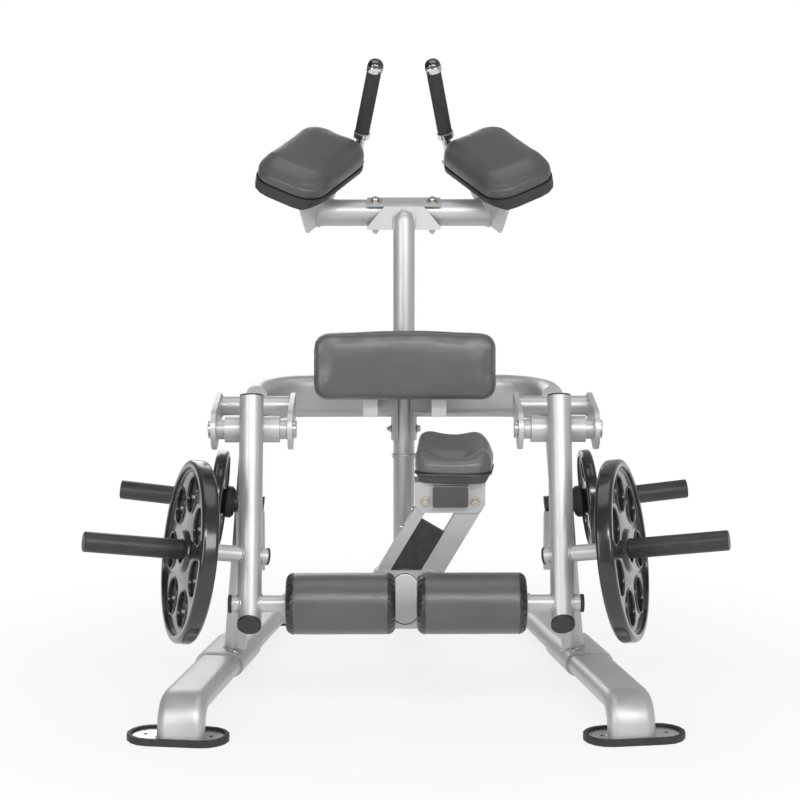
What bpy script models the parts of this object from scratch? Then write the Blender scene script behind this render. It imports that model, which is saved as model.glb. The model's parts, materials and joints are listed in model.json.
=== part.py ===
"""Kneeling hamstring machine: a plate-loaded strength machine with two swing arms.

The user kneels with one knee on the pad in the middle, leans the thighs against the wide pad
and the forearms on the two elbow pads, and curls one roller up with the heel of the other leg.

Metres, +Z up, +X to the user's right, the user faces +Y. The origin lies on the floor in the
middle of the machine's footprint.
"""
import math

import bmesh
import bpy
from mathutils import Matrix, Vector

# Clearance between two pieces that touch
GAP = 0.0003
RUNNING_GAP = 0.0005
# How far a welded piece stands proud of the plate it is welded to
WELD_PROUD = 0.001

# Feet
FOOT_X = 0.560
FOOT_Y = -0.5175
FOOT_LENGTH = 0.256
FOOT_DEPTH = 0.126
FOOT_RUBBER_HEIGHT = 0.017
FOOT_RIM = 0.011
FOOT_RECESS = 0.012
FOOT_PLATE_THICKNESS = 0.006
ANCHOR_HOLE = 0.011

# Legs, two flat oval tubes that run from the front feet down to the rear tie bar
LEG_WIDTH = 0.120
LEG_HEIGHT = 0.055
LEG_BASE_X = 0.551
LEG_BASE_Y = -0.5355
LEG_KNEE_HEIGHT = 0.092
LEG_KNEE_LEAN = 0.012
LEG_BEND_RADIUS = 0.056
LEG_REAR_X = 0.393
LEG_REAR_Y = 0.630
LEG_REAR_BITE = 0.003

# Rear tie bar, a flat bar on a rubber sole
TIE_LENGTH = 0.880
TIE_DEPTH = 0.108
TIE_THICKNESS = 0.012
TIE_Y = 0.6358
SOLE_HEIGHT = 0.008
SOLE_INSET = 0.006

# Saddles that clamp the uprights to the legs
SADDLE_WALL = 0.006
SADDLE_LENGTH = 0.236
SADDLE_Y = 0.004

# Uprights
UPRIGHT_RADIUS = 0.030
UPRIGHT_FOOT_INSET = 0.026
UPRIGHT_Y = -0.045
UPRIGHT_TOP_X = 0.396
UPRIGHT_TOP_Y = -0.070

# Hoop, a flat oval tube bent to a U that opens towards the front
HOOP_WIDTH = 0.057
HOOP_HEIGHT = 0.114
HOOP_Z = 0.769
HOOP_BACK_Y = 0.0285
HOOP_BACK_RISE = 0.010
HOOP_CORNER = 0.130

# Arm pivots
ARM_X = 0.386
PIVOT_Y = -0.2865
PIVOT_Z = 0.735
PIN_RADIUS = 0.0127
PIN_HEAD_RADIUS = 0.0235
PIN_HEAD_LENGTH = 0.009
HOUSING_RADIUS = 0.0335
HOUSING_LENGTH = 0.138
BUSH_RADIUS = 0.0252
YOKE_PLATE = 0.012
YOKE_INNER_WIDTH = 0.180
YOKE_PIVOT_RADIUS = 0.0515
YOKE_TUBE_RADIUS = 0.034
CROSS_RADIUS = 0.0255
CROSS_BACK = 0.150
CROSS_RISE = 0.040
HOOP_COPE = 0.010

# Swing arms
ARM_RADIUS = 0.030
ARM_LEAN_DEG = 17.1
ARM_ABOVE_PIVOT = 0.076
ARM_BELOW_PIVOT = 0.489
ARM_OFFSET = 0.046
ARM_END_CUT_DEG = 32.0
ARM_CAP_THICKNESS = 0.006
ARM_SWING_DEG = 105.0

# Weight pegs on the arms
PEG_DOWN = 0.3215
PEG_TUBE_RADIUS = 0.0205
PEG_SLEEVE_RADIUS = 0.025
PEG_FORWARD_DEG = 17.3
PEG_RISE_DEG = 8.4
PEG_INNER_LENGTH = 0.042
PEG_OUTER_LENGTH = 0.414
PEG_STOP_FROM_ARM = 0.132
PEG_STOP_RADIUS = 0.035
PEG_STOP_THICKNESS = 0.008

# Large plates
PLATE_RADIUS = 0.225
PLATE_THICKNESS = 0.042
PLATE_RIM_WIDTH = 0.020
PLATE_WEB_THICKNESS = 0.024
PLATE_HUB_RADIUS = 0.055
PLATE_GRIPS = 7
PLATE_GRIP_CIRCLE = 0.143
PLATE_GRIP_RADIUS = 0.044
PLATE_HANG = 0.004

# Small plates on the storage pegs
SMALL_RADIUS = 0.135
SMALL_THICKNESS = 0.032
SMALL_RIM_WIDTH = 0.014
SMALL_WEB_THICKNESS = 0.018
SMALL_HUB_RADIUS = 0.042
SMALL_GRIPS = 3
SMALL_GRIP_CIRCLE = 0.084
SMALL_GRIP_RADIUS = 0.028

# Storage pegs on the uprights
STORE_Z = 0.501
STORE_RISE_DEG = 6.8
STORE_RADIUS = 0.025
STORE_OUTER_LENGTH = 0.336
STORE_INNER_LENGTH = 0.042
DONUT_RADIUS = 0.0425
DONUT_LENGTH = 0.027
DONUT_CLEARANCE = 0.0025

# Roller axles and rollers
AXLE_DOWN = 0.4415
AXLE_RADIUS = 0.0215
AXLE_OUTER_LENGTH = 0.044
AXLE_CAP_LENGTH = 0.009
AXLE_COLLAR_RADIUS = 0.0250
AXLE_COLLAR_LENGTH = 0.008
ROLLER_RADIUS = 0.0765
ROLLER_LENGTH = 0.270
ROLLER_CENTRE_X = 0.1610
ROLLER_EDGE = 0.020
ROLLER_DISH = 0.010

# Arm stops on the uprights
STOP_Z = 0.4065
STOP_PLATE = 0.009
STOP_HEIGHT = 0.157
STOP_WEB_X = 0.3755
STOP_WEB_DEPTH = 0.038
STOP_BAR_RADIUS = 0.015
STOP_BAR_FRONT_X = 0.391
STOP_BAR_REAR_X = 0.402
BUMPER_RADIUS = 0.019
BUMPER_LENGTH = 0.028

# Spine, a flat oval tube that carries the middle of the machine
SPINE_WIDTH = 0.078
SPINE_HEIGHT = 0.136
SPINE_FRONT_Y = -0.262
SPINE_FRONT_Z = 0.290
SPINE_REAR_Y = 0.640
SPINE_REAR_BITE = 0.004

# Post and mast
POST_Y = HOOP_BACK_Y
POST_RADIUS = 0.0285
POST_JOINT_Z = 0.621
POST_RING_RADIUS = 0.0315
POST_RING_HEIGHT = 0.010
SLEEVE_WALL = 0.006
SLEEVE_BOTTOM_Z = 0.660
SLEEVE_TOP_Z = 0.822
SLEEVE_SLOT = 0.032

# Elbow bar on the mast
BAR_BEHIND_MAST = 0.052
BAR_Y = POST_Y + BAR_BEHIND_MAST
BAR_Z = 1.2690
BAR_RADIUS = 0.036
HEAD_WALL = 0.008
HEAD_LENGTH = 0.196
HEAD_NARROW_LENGTH = 0.103
HEAD_NARROW_RISE = 0.018
HEAD_TILT_DEG = 25.0
HEAD_STRAP_WIDTH = 0.040
HEAD_LIP = 0.020
DOME_RISE = 0.009

# Elbow pads: the pad's middle, and where its length and its width point
ELBOW_X = 0.2530
ELBOW_Y = 0.0395
ELBOW_Z = 1.357
ELBOW_TOE_DEG = 28.5
ELBOW_SLOPE_DEG = 20.2
ELBOW_ROLL_DEG = 22.5
ELBOW_LENGTH = 0.326
ELBOW_WIDTH = 0.199
ELBOW_CORNER = 0.062
ELBOW_BOARD = 0.031
ELBOW_EDGE_RISE = 0.019
ELBOW_CUSHION = 0.058
GUSSET_OFFSET = 0.053
STRAP_OFFSET = 0.037
STRAP_WIDTH = 0.050
STRAP_THICKNESS = 0.008
STRAP_MARGIN = 0.002
STRAP_BEYOND = 0.046
GUSSET_THICKNESS = 0.008
GUSSET_DROP = 0.117
GUSSET_TOP_NEAR = -0.138
GUSSET_TOP_FAR = 0.115
GUSSET_BOTTOM_NEAR = -0.060
GUSSET_BOTTOM_FAR = 0.020

# Handles
HANDLE_OFFSET = 0.044
HANDLE_NECK_RADIUS = 0.0125
HANDLE_NECK_LENGTH = 0.072
HANDLE_GRIP_RADIUS = 0.0195
HANDLE_COLLAR_RADIUS = 0.0215
HANDLE_COLLAR_LENGTH = 0.018
HANDLE_GRIP_LENGTH = 0.180
HANDLE_DOME_HEIGHT = 0.012

# Thigh pad
THIGH_WIDTH = 0.477
THIGH_HEIGHT = 0.181
THIGH_Z = 0.880
THIGH_FRONT_Y = -0.232
THIGH_CUSHION = 0.055
THIGH_BOARD = 0.016
THIGH_CORNER = 0.038
THIGH_BOW = 0.015
THIGH_LEAN_DEG = 4.0
THIGH_BRACKET_X = 0.089
THIGH_BRACKET_WIDTH = 0.040
THIGH_BRACKET_HEIGHT = 0.078
THIGH_BRACKET_Z = 0.789
THIGH_CROSS_HEIGHT = 0.060

# Knee pad linkage, a parallelogram of two links that swings from side to side
LINK_SPACING = 0.1274
LINK_PIVOT_Z = 0.344
LINK_LENGTH = 0.227
LINK_REST_DEG = 30.6
LINK_DEPTH = 0.036
LINK_FRONT_Y = -0.2380
LINK_A_WIDTH = 0.028
LINK_B_WIDTH = 0.054
LINK_EYE_RADIUS = 0.024
LINK_PIN_RADIUS = 0.0080
CLEVIS_PLATE = 0.008
CLEVIS_WIDTH = 0.150
CLEVIS_BOTTOM_Z = 0.207
CLEVIS_CORNER = 0.018
CLEVIS_EAR_RADIUS = 0.017
SPINE_PROUD = 0.014
BLOCK_BOTTOM_Z = 0.3655
BLOCK_TOP_ALONG = 0.172

# Carrier and knee pad
CARRIER_WIDTH = 0.180
CARRIER_HEIGHT = 0.073
CARRIER_CHAMFER = 0.020
CARRIER_TOP_RISE = 0.045
STUB_WIDTH = 0.092
STUB_HEIGHT = 0.054
STUB_LENGTH = 0.022
KNEE_WIDTH = 0.200
KNEE_DEPTH = 0.215
KNEE_BACK = 0.036
KNEE_SHELL = 0.026
KNEE_SHELL_INSET = 0.006
KNEE_SHELL_TAPER = 0.010
KNEE_SHIFT = 0.0135
KNEE_CUSHION = 0.083
KNEE_DIP = 0.016
KNEE_REAR_RISE = 0.048
KNEE_TURN_DEG = -6.0
KNEE_CORNER = 0.050

ROUND_STEPS = 16
DOME_STEPS = 4
PIN_STEPS = 12
SMALL_STEPS = 12
PLATE_STEPS = 22
GRIP_STEPS = 10
ROLLER_STEPS = 18
TINY = 0.00001

FINISHES = {
    "paint": ((0.60, 0.61, 0.61), 0.32, 0.75),
    "steel": ((0.55, 0.55, 0.54), 0.35, 0.90),
    "chrome": ((0.80, 0.80, 0.80), 0.10, 1.00),
    "rubber": ((0.020, 0.020, 0.021), 0.55, 0.0),
    "gloss": ((0.012, 0.012, 0.012), 0.25, 0.0),
    "plastic": ((0.022, 0.022, 0.022), 0.45, 0.0),
    "vinyl": ((0.120, 0.121, 0.125), 0.42, 0.0),
    "board": ((0.045, 0.040, 0.038), 0.50, 0.0),
}

SIDES = (("left", -1.0), ("right", 1.0))


def clear_scene():
    for obj in list(bpy.data.objects):
        bpy.data.objects.remove(obj, do_unlink=True)


def make_collection(name):
    collection = bpy.data.collections.new(name)
    bpy.context.scene.collection.children.link(collection)
    return collection


clear_scene()
PARTS = make_collection("kneeling_hamstring_machine")
CUTTERS = make_collection("cutters")


def paint(obj, finish):
    """Give an object a material of its own."""
    colour, roughness, metallic = FINISHES[finish]
    material = bpy.data.materials.new(obj.name + "_" + finish)
    material.use_nodes = True
    shader = material.node_tree.nodes["Principled BSDF"]
    shader.inputs["Base Color"].default_value = (*colour, 1.0)
    shader.inputs["Roughness"].default_value = roughness
    shader.inputs["Metallic"].default_value = metallic
    material.diffuse_color = (*colour, 1.0)
    obj.data.materials.clear()
    obj.data.materials.append(material)


def add_mesh(name, bm, finish="paint"):
    """Turn a bmesh into a named part."""
    mesh = bpy.data.meshes.new(name)
    bmesh.ops.recalc_face_normals(bm, faces=bm.faces)
    bm.to_mesh(mesh)
    bm.free()
    mesh.shade_smooth()
    mesh.set_sharp_from_angle(angle=math.radians(35.0))
    obj = bpy.data.objects.new(name, mesh)
    PARTS.objects.link(obj)
    paint(obj, finish)
    return obj


def as_tool(obj):
    """Move an object out of the model, so that it only cuts or joins."""
    PARTS.objects.unlink(obj)
    CUTTERS.objects.link(obj)
    obj.hide_render = True
    obj.display_type = "WIRE"
    return obj


def combine(obj, tool, operation):
    modifier = obj.modifiers.new(operation.lower(), "BOOLEAN")
    modifier.operation = operation
    modifier.solver = "EXACT"
    modifier.object = as_tool(tool)
    return obj


def cut(obj, tool):
    return combine(obj, tool, "DIFFERENCE")


def join(obj, tool):
    return combine(obj, tool, "UNION")


def frame_at(origin, z_axis, x_hint=Vector((1.0, 0.0, 0.0))):
    """A matrix at an origin whose Z points along z_axis and whose X is near x_hint."""
    z_dir = Vector(z_axis).normalized()
    hint = Vector(x_hint)
    if abs(z_dir.dot(hint.normalized())) > 0.99:
        hint = Vector((0.0, 1.0, 0.0))
    y_dir = z_dir.cross(hint).normalized()
    x_dir = y_dir.cross(z_dir)
    matrix = Matrix((x_dir, y_dir, z_dir)).transposed().to_4x4()
    matrix.translation = Vector(origin)
    return matrix


def frame_of(origin, x_dir, y_dir, z_dir):
    matrix = Matrix((x_dir, y_dir, z_dir)).transposed().to_4x4()
    matrix.translation = Vector(origin)
    return matrix


def rod(name, start, end, radius, finish="paint", steps=ROUND_STEPS, bevel=0.0):
    """A round bar from start to end."""
    start = Vector(start)
    end = Vector(end)
    bm = bmesh.new()
    matrix = frame_at((start + end) / 2.0, end - start)
    bmesh.ops.create_cone(bm, cap_ends=True, segments=steps, radius1=radius, radius2=radius,
                          depth=(end - start).length, matrix=matrix)
    if bevel > 0.0:
        rims = [edge for edge in bm.edges if any(len(face.verts) > 4 for face in edge.link_faces)]
        bmesh.ops.bevel(bm, geom=rims, offset=bevel, segments=2, affect="EDGES", profile=0.5)
    return add_mesh(name, bm, finish)


def block(name, matrix, size, finish="paint", bevel=0.0):
    """A box of a given size round the origin of a matrix."""
    bm = bmesh.new()
    bmesh.ops.create_cube(bm, size=1.0, matrix=Matrix.Diagonal((*size, 1.0)))
    if bevel > 0.0:
        bmesh.ops.bevel(bm, geom=bm.edges[:], offset=bevel, segments=2, affect="EDGES", profile=0.5)
    bmesh.ops.transform(bm, matrix=matrix, verts=bm.verts)
    return add_mesh(name, bm, finish)


def arc(centre_x, centre_y, radius, start_deg, end_deg, steps):
    points = []
    for step in range(steps + 1):
        angle = math.radians(start_deg + (end_deg - start_deg) * step / steps)
        points.append((centre_x + radius * math.cos(angle), centre_y + radius * math.sin(angle)))
    return points


def circle_outline(radius, steps=SMALL_STEPS, centre=(0.0, 0.0)):
    return arc(centre[0], centre[1], radius, 0.0, 360.0, steps)[:-1]


def rounded_outline(width, height, corner, steps=4):
    """A rectangle with round corners, width along X and height along Y."""
    half_x = width / 2.0 - corner
    half_y = height / 2.0 - corner
    points = []
    for sign_x, sign_y, start in ((1, 1, 0.0), (-1, 1, 90.0), (-1, -1, 180.0), (1, -1, 270.0)):
        points += arc(sign_x * half_x, sign_y * half_y, corner, start, start + 90.0, steps)
    return without_doubles(points)


def clear_of(radius, clearance, steps):
    """The radius of a many-sided hole whose flat sides clear a round of the given radius."""
    return (radius + clearance) / math.cos(math.pi / steps)


def without_doubles(points):
    kept = []
    for point in points:
        if not kept or math.dist(point, kept[-1]) > TINY:
            kept.append(point)
    if math.dist(kept[0], kept[-1]) <= TINY:
        kept.pop()
    return kept


def obround_outline(width, height, steps=4):
    """A flat oval: a rectangle whose two short sides are half circles."""
    return rounded_outline(width, height, min(width, height) / 2.0, steps)


def two_circle_outline(first, first_radius, second, second_radius, steps=8):
    """The outline of a belt round two circles."""
    run = Vector(second) - Vector(first)
    heading = math.degrees(math.atan2(run.y, run.x))
    spread = math.degrees(math.acos((first_radius - second_radius) / run.length))
    back = arc(first[0], first[1], first_radius, heading + spread, heading + 360.0 - spread, steps)
    front = arc(second[0], second[1], second_radius, heading - spread, heading + spread, steps)
    return back + front


def plate(name, outlines, thickness, matrix, finish="paint", bevel=0.0):
    """A flat plate from closed outlines, the first one its edge and the others its holes.

    The outlines lie in the matrix's XY plane, and the plate's middle is in that plane.
    """
    curve = bpy.data.curves.new(name, "CURVE")
    curve.dimensions = "2D"
    curve.fill_mode = "BOTH"
    curve.extrude = thickness / 2.0
    for outline in outlines:
        spline = curve.splines.new("POLY")
        spline.points.add(len(outline) - 1)
        for point, place in zip(spline.points, outline):
            point.co = (place[0], place[1], 0.0, 1.0)
        spline.use_cyclic_u = True
    source = bpy.data.objects.new(name + "_outline", curve)
    bm = mesh_of_curve(source)
    if bevel > 0.0:
        flat_limit = math.radians(60.0)
        rims = [edge for edge in bm.edges if edge.calc_face_angle(0.0) > flat_limit]
        bmesh.ops.bevel(bm, geom=rims, offset=bevel, segments=1, affect="EDGES", profile=0.5)
    bmesh.ops.transform(bm, matrix=matrix, verts=bm.verts)
    return add_mesh(name, bm, finish)


def mesh_of_curve(source):
    """The welded mesh of a curve object, which is then removed."""
    PARTS.objects.link(source)
    bpy.context.view_layer.update()
    evaluated = source.evaluated_get(bpy.context.evaluated_depsgraph_get())
    mesh = bpy.data.meshes.new_from_object(evaluated)
    bm = bmesh.new()
    bm.from_mesh(mesh)
    bmesh.ops.remove_doubles(bm, verts=bm.verts, dist=TINY / 2.0)
    bpy.data.objects.remove(source, do_unlink=True)
    return bm


def sweep(name, path, outline, finish="paint"):
    """A tube with a flat section along a path; the section's X stays level."""
    section_curve = bpy.data.curves.new(name + "_section", "CURVE")
    section_curve.dimensions = "2D"
    spline = section_curve.splines.new("POLY")
    spline.points.add(len(outline) - 1)
    for point, place in zip(spline.points, outline):
        point.co = (place[0], place[1], 0.0, 1.0)
    spline.use_cyclic_u = True
    section = bpy.data.objects.new(name + "_section", section_curve)
    CUTTERS.objects.link(section)
    curve = bpy.data.curves.new(name, "CURVE")
    curve.dimensions = "3D"
    curve.twist_mode = "Z_UP"
    curve.bevel_mode = "OBJECT"
    curve.bevel_object = section
    curve.use_fill_caps = True
    line = curve.splines.new("POLY")
    line.points.add(len(path) - 1)
    for point, place in zip(line.points, path):
        point.co = (*place, 1.0)
    source = bpy.data.objects.new(name + "_path", curve)
    bm = mesh_of_curve(source)
    bpy.data.objects.remove(section, do_unlink=True)
    return add_mesh(name, bm, finish)


def filleted(corners, radius, steps=6):
    """A path through corner points whose inner corners are rounded to a radius."""
    path = [Vector(corners[0])]
    for before, corner, after in zip(corners, corners[1:], corners[2:]):
        corner = Vector(corner)
        to_before = (Vector(before) - corner).normalized()
        to_after = (Vector(after) - corner).normalized()
        half = to_before.angle(to_after) / 2.0
        reach = radius / math.tan(half)
        bisector = (to_before + to_after).normalized()
        centre = corner + bisector * (radius / math.sin(half))
        start = corner + to_before * reach - centre
        end = corner + to_after * reach - centre
        turn = start.angle(end)
        for step in range(steps + 1):
            share = step / steps
            blend = start * math.sin((1.0 - share) * turn) + end * math.sin(share * turn)
            path.append(centre + blend / math.sin(turn))
    path.append(Vector(corners[-1]))
    return path


def turned(name, profile, matrix, finish="paint", steps=ROUND_STEPS):
    """A turned solid: a profile of (radius, height) points spun round the matrix's Z."""
    bm = bmesh.new()
    verts = [bm.verts.new((radius, 0.0, height)) for radius, height in profile]
    edges = [bm.edges.new(pair) for pair in zip(verts, verts[1:])]
    if profile[0][0] > TINY:
        edges.append(bm.edges.new((verts[-1], verts[0])))
    bmesh.ops.spin(bm, geom=verts + edges, cent=(0.0, 0.0, 0.0), axis=(0.0, 0.0, 1.0),
                   angle=2.0 * math.pi, steps=steps, use_merge=True, use_duplicate=False)
    bmesh.ops.remove_doubles(bm, verts=bm.verts, dist=TINY / 2.0)
    bmesh.ops.transform(bm, matrix=matrix, verts=bm.verts)
    return add_mesh(name, bm, finish)


def trim(obj, point, normal):
    """Cut away what lies on the normal's side of a plane, and close the cut."""
    bm = bmesh.new()
    bm.from_mesh(obj.data)
    geometry = bm.verts[:] + bm.edges[:] + bm.faces[:]
    result = bmesh.ops.bisect_plane(bm, geom=geometry, dist=TINY / 10.0, plane_co=point,
                                    plane_no=normal, clear_outer=True)
    rim = [item for item in result["geom_cut"] if isinstance(item, bmesh.types.BMEdge)]
    bmesh.ops.holes_fill(bm, edges=rim)
    bmesh.ops.recalc_face_normals(bm, faces=bm.faces)
    bm.to_mesh(obj.data)
    bm.free()
    obj.data.shade_smooth()
    obj.data.set_sharp_from_angle(angle=math.radians(35.0))
    return obj


def with_middles(outline, longest):
    """The outline with its long edges cut into even pieces, so that they can bulge."""
    points = []
    for start, end in zip(outline, outline[1:] + outline[:1]):
        count = max(1, round(math.dist(start, end) / longest))
        for step in range(count):
            share = step / count
            points.append((start[0] + (end[0] - start[0]) * share,
                           start[1] + (end[1] - start[1]) * share))
    return points


def join_loops(bm, loops):
    """Side faces between closed loops of as many vertices each, from the lowest loop up."""
    for lower, upper in zip(loops, loops[1:]):
        for index in range(len(lower)):
            after = (index + 1) % len(lower)
            bm.faces.new((lower[index], lower[after], upper[after], upper[index]))


def cushion(name, width, height, corner, thickness, matrix, finish="vinyl", crown=0.10,
            dip=0.0, rear_rise=0.0, bow=0.0, drawn_in=0.012, slope=0.0, corner_steps=3, levels=1):
    """A padded form on a flat back: drawn-in sides, a rolled edge and a crowned face.

    Its back lies in the matrix's XY plane and its face looks along Z. The crown is the share
    of the thickness by which the middle stands over the rolled edge; the dip lowers the middle
    of the width instead, as a saddle does. The rear rise lifts the face towards +Y, the bow lets
    the +Y side bulge, and the slope draws the upper sides in.
    """
    rings = (
        (0.0, 0.000),
        (drawn_in, 0.300),
        (drawn_in * 0.3 + slope * 0.4, 0.560),
        (thickness * 0.16 + slope * 0.8, 0.800),
        (thickness * 0.62 + slope, 0.935),
        (min(width, height) * 0.30, 1.0 - crown * 0.35),
    )
    outline = rounded_outline(width, height, corner, corner_steps)
    if bow:
        outline = with_middles(outline, width / 8.0)
    bm = bmesh.new()
    loops = []
    for inset, level in rings:
        loop = []
        for x, y in outline:
            scale_x = 1.0 - 2.0 * inset / width
            scale_y = 1.0 - 2.0 * inset / height
            across = x * scale_x
            base = thickness * (1.0 - crown) if level > 0.9 else thickness * (1.0 - crown * 0.6)
            z = base * level
            share = min(1.0, max(0.0, (level - 0.3) / 0.6))
            z += share * dip * ((2.0 * across / width) ** 2 - 0.5)
            z += share * rear_rise * y / height
            bulge = bow * (1.0 - (2.0 * x / width) ** 2) * (y > 0.0) * (0.3 + 0.7 * share)
            loop.append(bm.verts.new((across, y * scale_y + bulge, z)))
        loops.append(loop)
    join_loops(bm, loops)
    middle = bm.verts.new((0.0, 0.0, thickness * (1.0 - crown * 0.25) - dip * 0.5))
    for index in range(len(outline)):
        after = (index + 1) % len(outline)
        bm.faces.new((loops[-1][index], loops[-1][after], middle))
    back = bm.faces.new(list(reversed(loops[0])))
    crease = bm.edges.layers.float.new("crease_edge")
    for edge in back.edges:
        edge[crease] = 1.0
    bmesh.ops.transform(bm, matrix=matrix, verts=bm.verts)
    obj = add_mesh(name, bm, finish)
    obj.data.shade_smooth()
    smooth = obj.modifiers.new("soft", "SUBSURF")
    smooth.levels = levels
    smooth.render_levels = levels
    return obj


def mirror_x(vector, side):
    """A point or direction given for the right side, on either side."""
    return Vector((vector[0] * side, vector[1], vector[2]))


# Feet, legs and rear tie bar

FOOT_TOP = FOOT_RUBBER_HEIGHT + GAP
TIE_TOP = SOLE_HEIGHT + GAP + TIE_THICKNESS
LEG_REAR_Z = TIE_TOP + GAP + LEG_HEIGHT / 2.0 - LEG_REAR_BITE


def make_foot(side_name, side):
    """A rubber foot with a round rim, and the steel plate that lies in it."""
    inner_length = FOOT_LENGTH - 2.0 * FOOT_RIM
    inner_depth = FOOT_DEPTH - 2.0 * FOOT_RIM
    base, knee, rear = leg_corners(side)
    heading = math.atan2(base.x - rear.x, rear.y - base.y)
    foot_at = Matrix.Translation((side * FOOT_X, FOOT_Y, 0.0)) @ Matrix.Rotation(heading, 4, "Z")
    rubber_at = foot_at @ Matrix.Translation((0.0, 0.0, FOOT_RUBBER_HEIGHT / 2.0))
    rubber = plate(side_name + "_foot_rubber", [obround_outline(FOOT_LENGTH, FOOT_DEPTH)],
                   FOOT_RUBBER_HEIGHT, rubber_at, "rubber", bevel=0.0015)
    pocket_at = foot_at @ Matrix.Translation((0.0, 0.0, FOOT_RUBBER_HEIGHT))
    pocket = plate(side_name + "_foot_pocket", [obround_outline(inner_length, inner_depth)],
                   2.0 * FOOT_RECESS, pocket_at)
    cut(rubber, pocket)
    steel_at = foot_at @ Matrix.Translation((0.0, 0.0, foot_plate_z()))
    outer = obround_outline(inner_length - 2.0 * GAP, inner_depth - 2.0 * GAP)
    hole_x = inner_length / 2.0 - inner_depth * 0.34
    holes = [circle_outline(ANCHOR_HOLE / 2.0, 12, (sign * hole_x, 0.0)) for sign in (-1.0, 1.0)]
    plate(side_name + "_foot_plate", [outer] + holes, FOOT_PLATE_THICKNESS, steel_at, "steel")


def foot_plate_z():
    """The middle of the steel plate's thickness, on the floor of the rubber's recess."""
    recess_floor = FOOT_RUBBER_HEIGHT - FOOT_RECESS
    return recess_floor + GAP + FOOT_PLATE_THICKNESS / 2.0


def leg_corners(side):
    base = Vector((side * LEG_BASE_X, LEG_BASE_Y, foot_plate_z() + FOOT_PLATE_THICKNESS / 2.0 + GAP))
    rear = Vector((side * LEG_REAR_X, LEG_REAR_Y, LEG_REAR_Z))
    heading = (rear - base)
    heading.z = 0.0
    knee = base + heading.normalized() * LEG_KNEE_LEAN
    knee.z = LEG_KNEE_HEIGHT
    return base, knee, rear


def leg_point(side, y):
    """The middle of the leg's straight run at a given y, and the run's direction."""
    base, knee, rear = leg_corners(side)
    run = rear - knee
    return knee + run * ((y - knee.y) / run.y), run.normalized()


def make_leg(side_name, side, name=None, grow=0.0):
    base, knee, rear = leg_corners(side)
    path = filleted([base - Vector((0.0, 0.0, 0.004)), knee, rear], LEG_BEND_RADIUS, 6)
    section = obround_outline(LEG_WIDTH + 2.0 * grow, LEG_HEIGHT + 2.0 * grow)
    leg = sweep(name or side_name + "_leg", path, section)
    trim(leg, base - Vector((0.0, 0.0, grow)), Vector((0.0, 0.0, -1.0)))
    if grow == 0.0:
        floor = Matrix.Translation((side * LEG_REAR_X, LEG_REAR_Y, TIE_TOP + GAP - 0.05))
        cut(leg, block(side_name + "_leg_floor", floor, (0.3, 0.5, 0.1)))
    return leg


def make_rear_base():
    bar_at = Matrix.Translation((0.0, TIE_Y, TIE_TOP - TIE_THICKNESS / 2.0))
    corner = TIE_DEPTH * 0.25
    plate("rear_tie_bar", [rounded_outline(TIE_LENGTH, TIE_DEPTH, corner)], TIE_THICKNESS,
          bar_at, bevel=0.001)
    sole_at = Matrix.Translation((0.0, TIE_Y, SOLE_HEIGHT / 2.0))
    sole = rounded_outline(TIE_LENGTH - 2.0 * SOLE_INSET, TIE_DEPTH - 2.0 * SOLE_INSET, corner)
    plate("rear_sole", [sole], SOLE_HEIGHT, sole_at, "rubber")


# Uprights with their saddles

def upright_ends(side):
    middle, run = leg_point(side, UPRIGHT_Y)
    foot = middle - Vector((side * UPRIGHT_FOOT_INSET, 0.0, 0.0))
    top = Vector((side * UPRIGHT_TOP_X, UPRIGHT_TOP_Y, HOOP_Z))
    return foot, top


def upright_point(side, z):
    foot, top = upright_ends(side)
    return foot + (top - foot) * ((z - foot.z) / (top.z - foot.z))


def hoop_path():
    front_y = PIVOT_Y + CROSS_BACK + CROSS_RADIUS - HOOP_COPE
    back_z = HOOP_Z + HOOP_BACK_RISE
    return filleted([(-ARM_X, front_y, HOOP_Z), (-ARM_X, HOOP_BACK_Y, back_z),
                     (ARM_X, HOOP_BACK_Y, back_z), (ARM_X, front_y, HOOP_Z)], HOOP_CORNER, 6)


def make_hoop_tube(name, grow=0.0):
    section = obround_outline(HOOP_WIDTH + 2.0 * grow, HOOP_HEIGHT + 2.0 * grow)
    return sweep(name, hoop_path(), section)


def make_upright(side_name, side):
    """The saddle that wraps the leg, with the upright and its stop plate welded to it."""
    middle, run = leg_point(side, SADDLE_Y)
    start = middle - run * SADDLE_LENGTH / 2.0
    end = middle + run * SADDLE_LENGTH / 2.0
    section = obround_outline(LEG_WIDTH + 2.0 * SADDLE_WALL, LEG_HEIGHT + 2.0 * SADDLE_WALL)
    upright = sweep(side_name + "_upright", [start, end], section)
    foot, top = upright_ends(side)
    join(upright, rod(side_name + "_upright_tube", foot, top, UPRIGHT_RADIUS))
    make_stop_plate(upright, side_name, side)
    cut(upright, make_leg(side_name, side, side_name + "_leg_cutter", GAP))
    cut(upright, make_hoop_tube(side_name + "_hoop_cutter", GAP))
    axis_point, direction = store_axis(side)
    hole = rod(side_name + "_store_hole", axis_point - direction * 0.1,
               axis_point + direction * 0.1, clear_of(STORE_RADIUS, GAP, ROUND_STEPS))
    cut(upright, hole)
    return upright


def stop_face_y(side):
    """The front of the flange that carries the stop bar, just before the upright."""
    return upright_point(side, STOP_Z).y - UPRIGHT_RADIUS - STOP_PLATE


def arm_rear(side):
    """The rear of the arm at the height of its stop."""
    along = (STOP_Z - arm_point(side, 0.0).z) / ARM_DOWN.z
    return arm_point(side, along) - ARM_FRONT * ARM_RADIUS


def stop_line(side):
    """Where the stop bar leaves the flange, a point past its front end, and its direction."""
    flange = Vector((side * STOP_BAR_REAR_X, stop_face_y(side), STOP_Z))
    arm_side = Vector((side * STOP_BAR_FRONT_X, arm_rear(side).y, STOP_Z))
    return flange, arm_side, (arm_side - flange).normalized()


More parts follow.
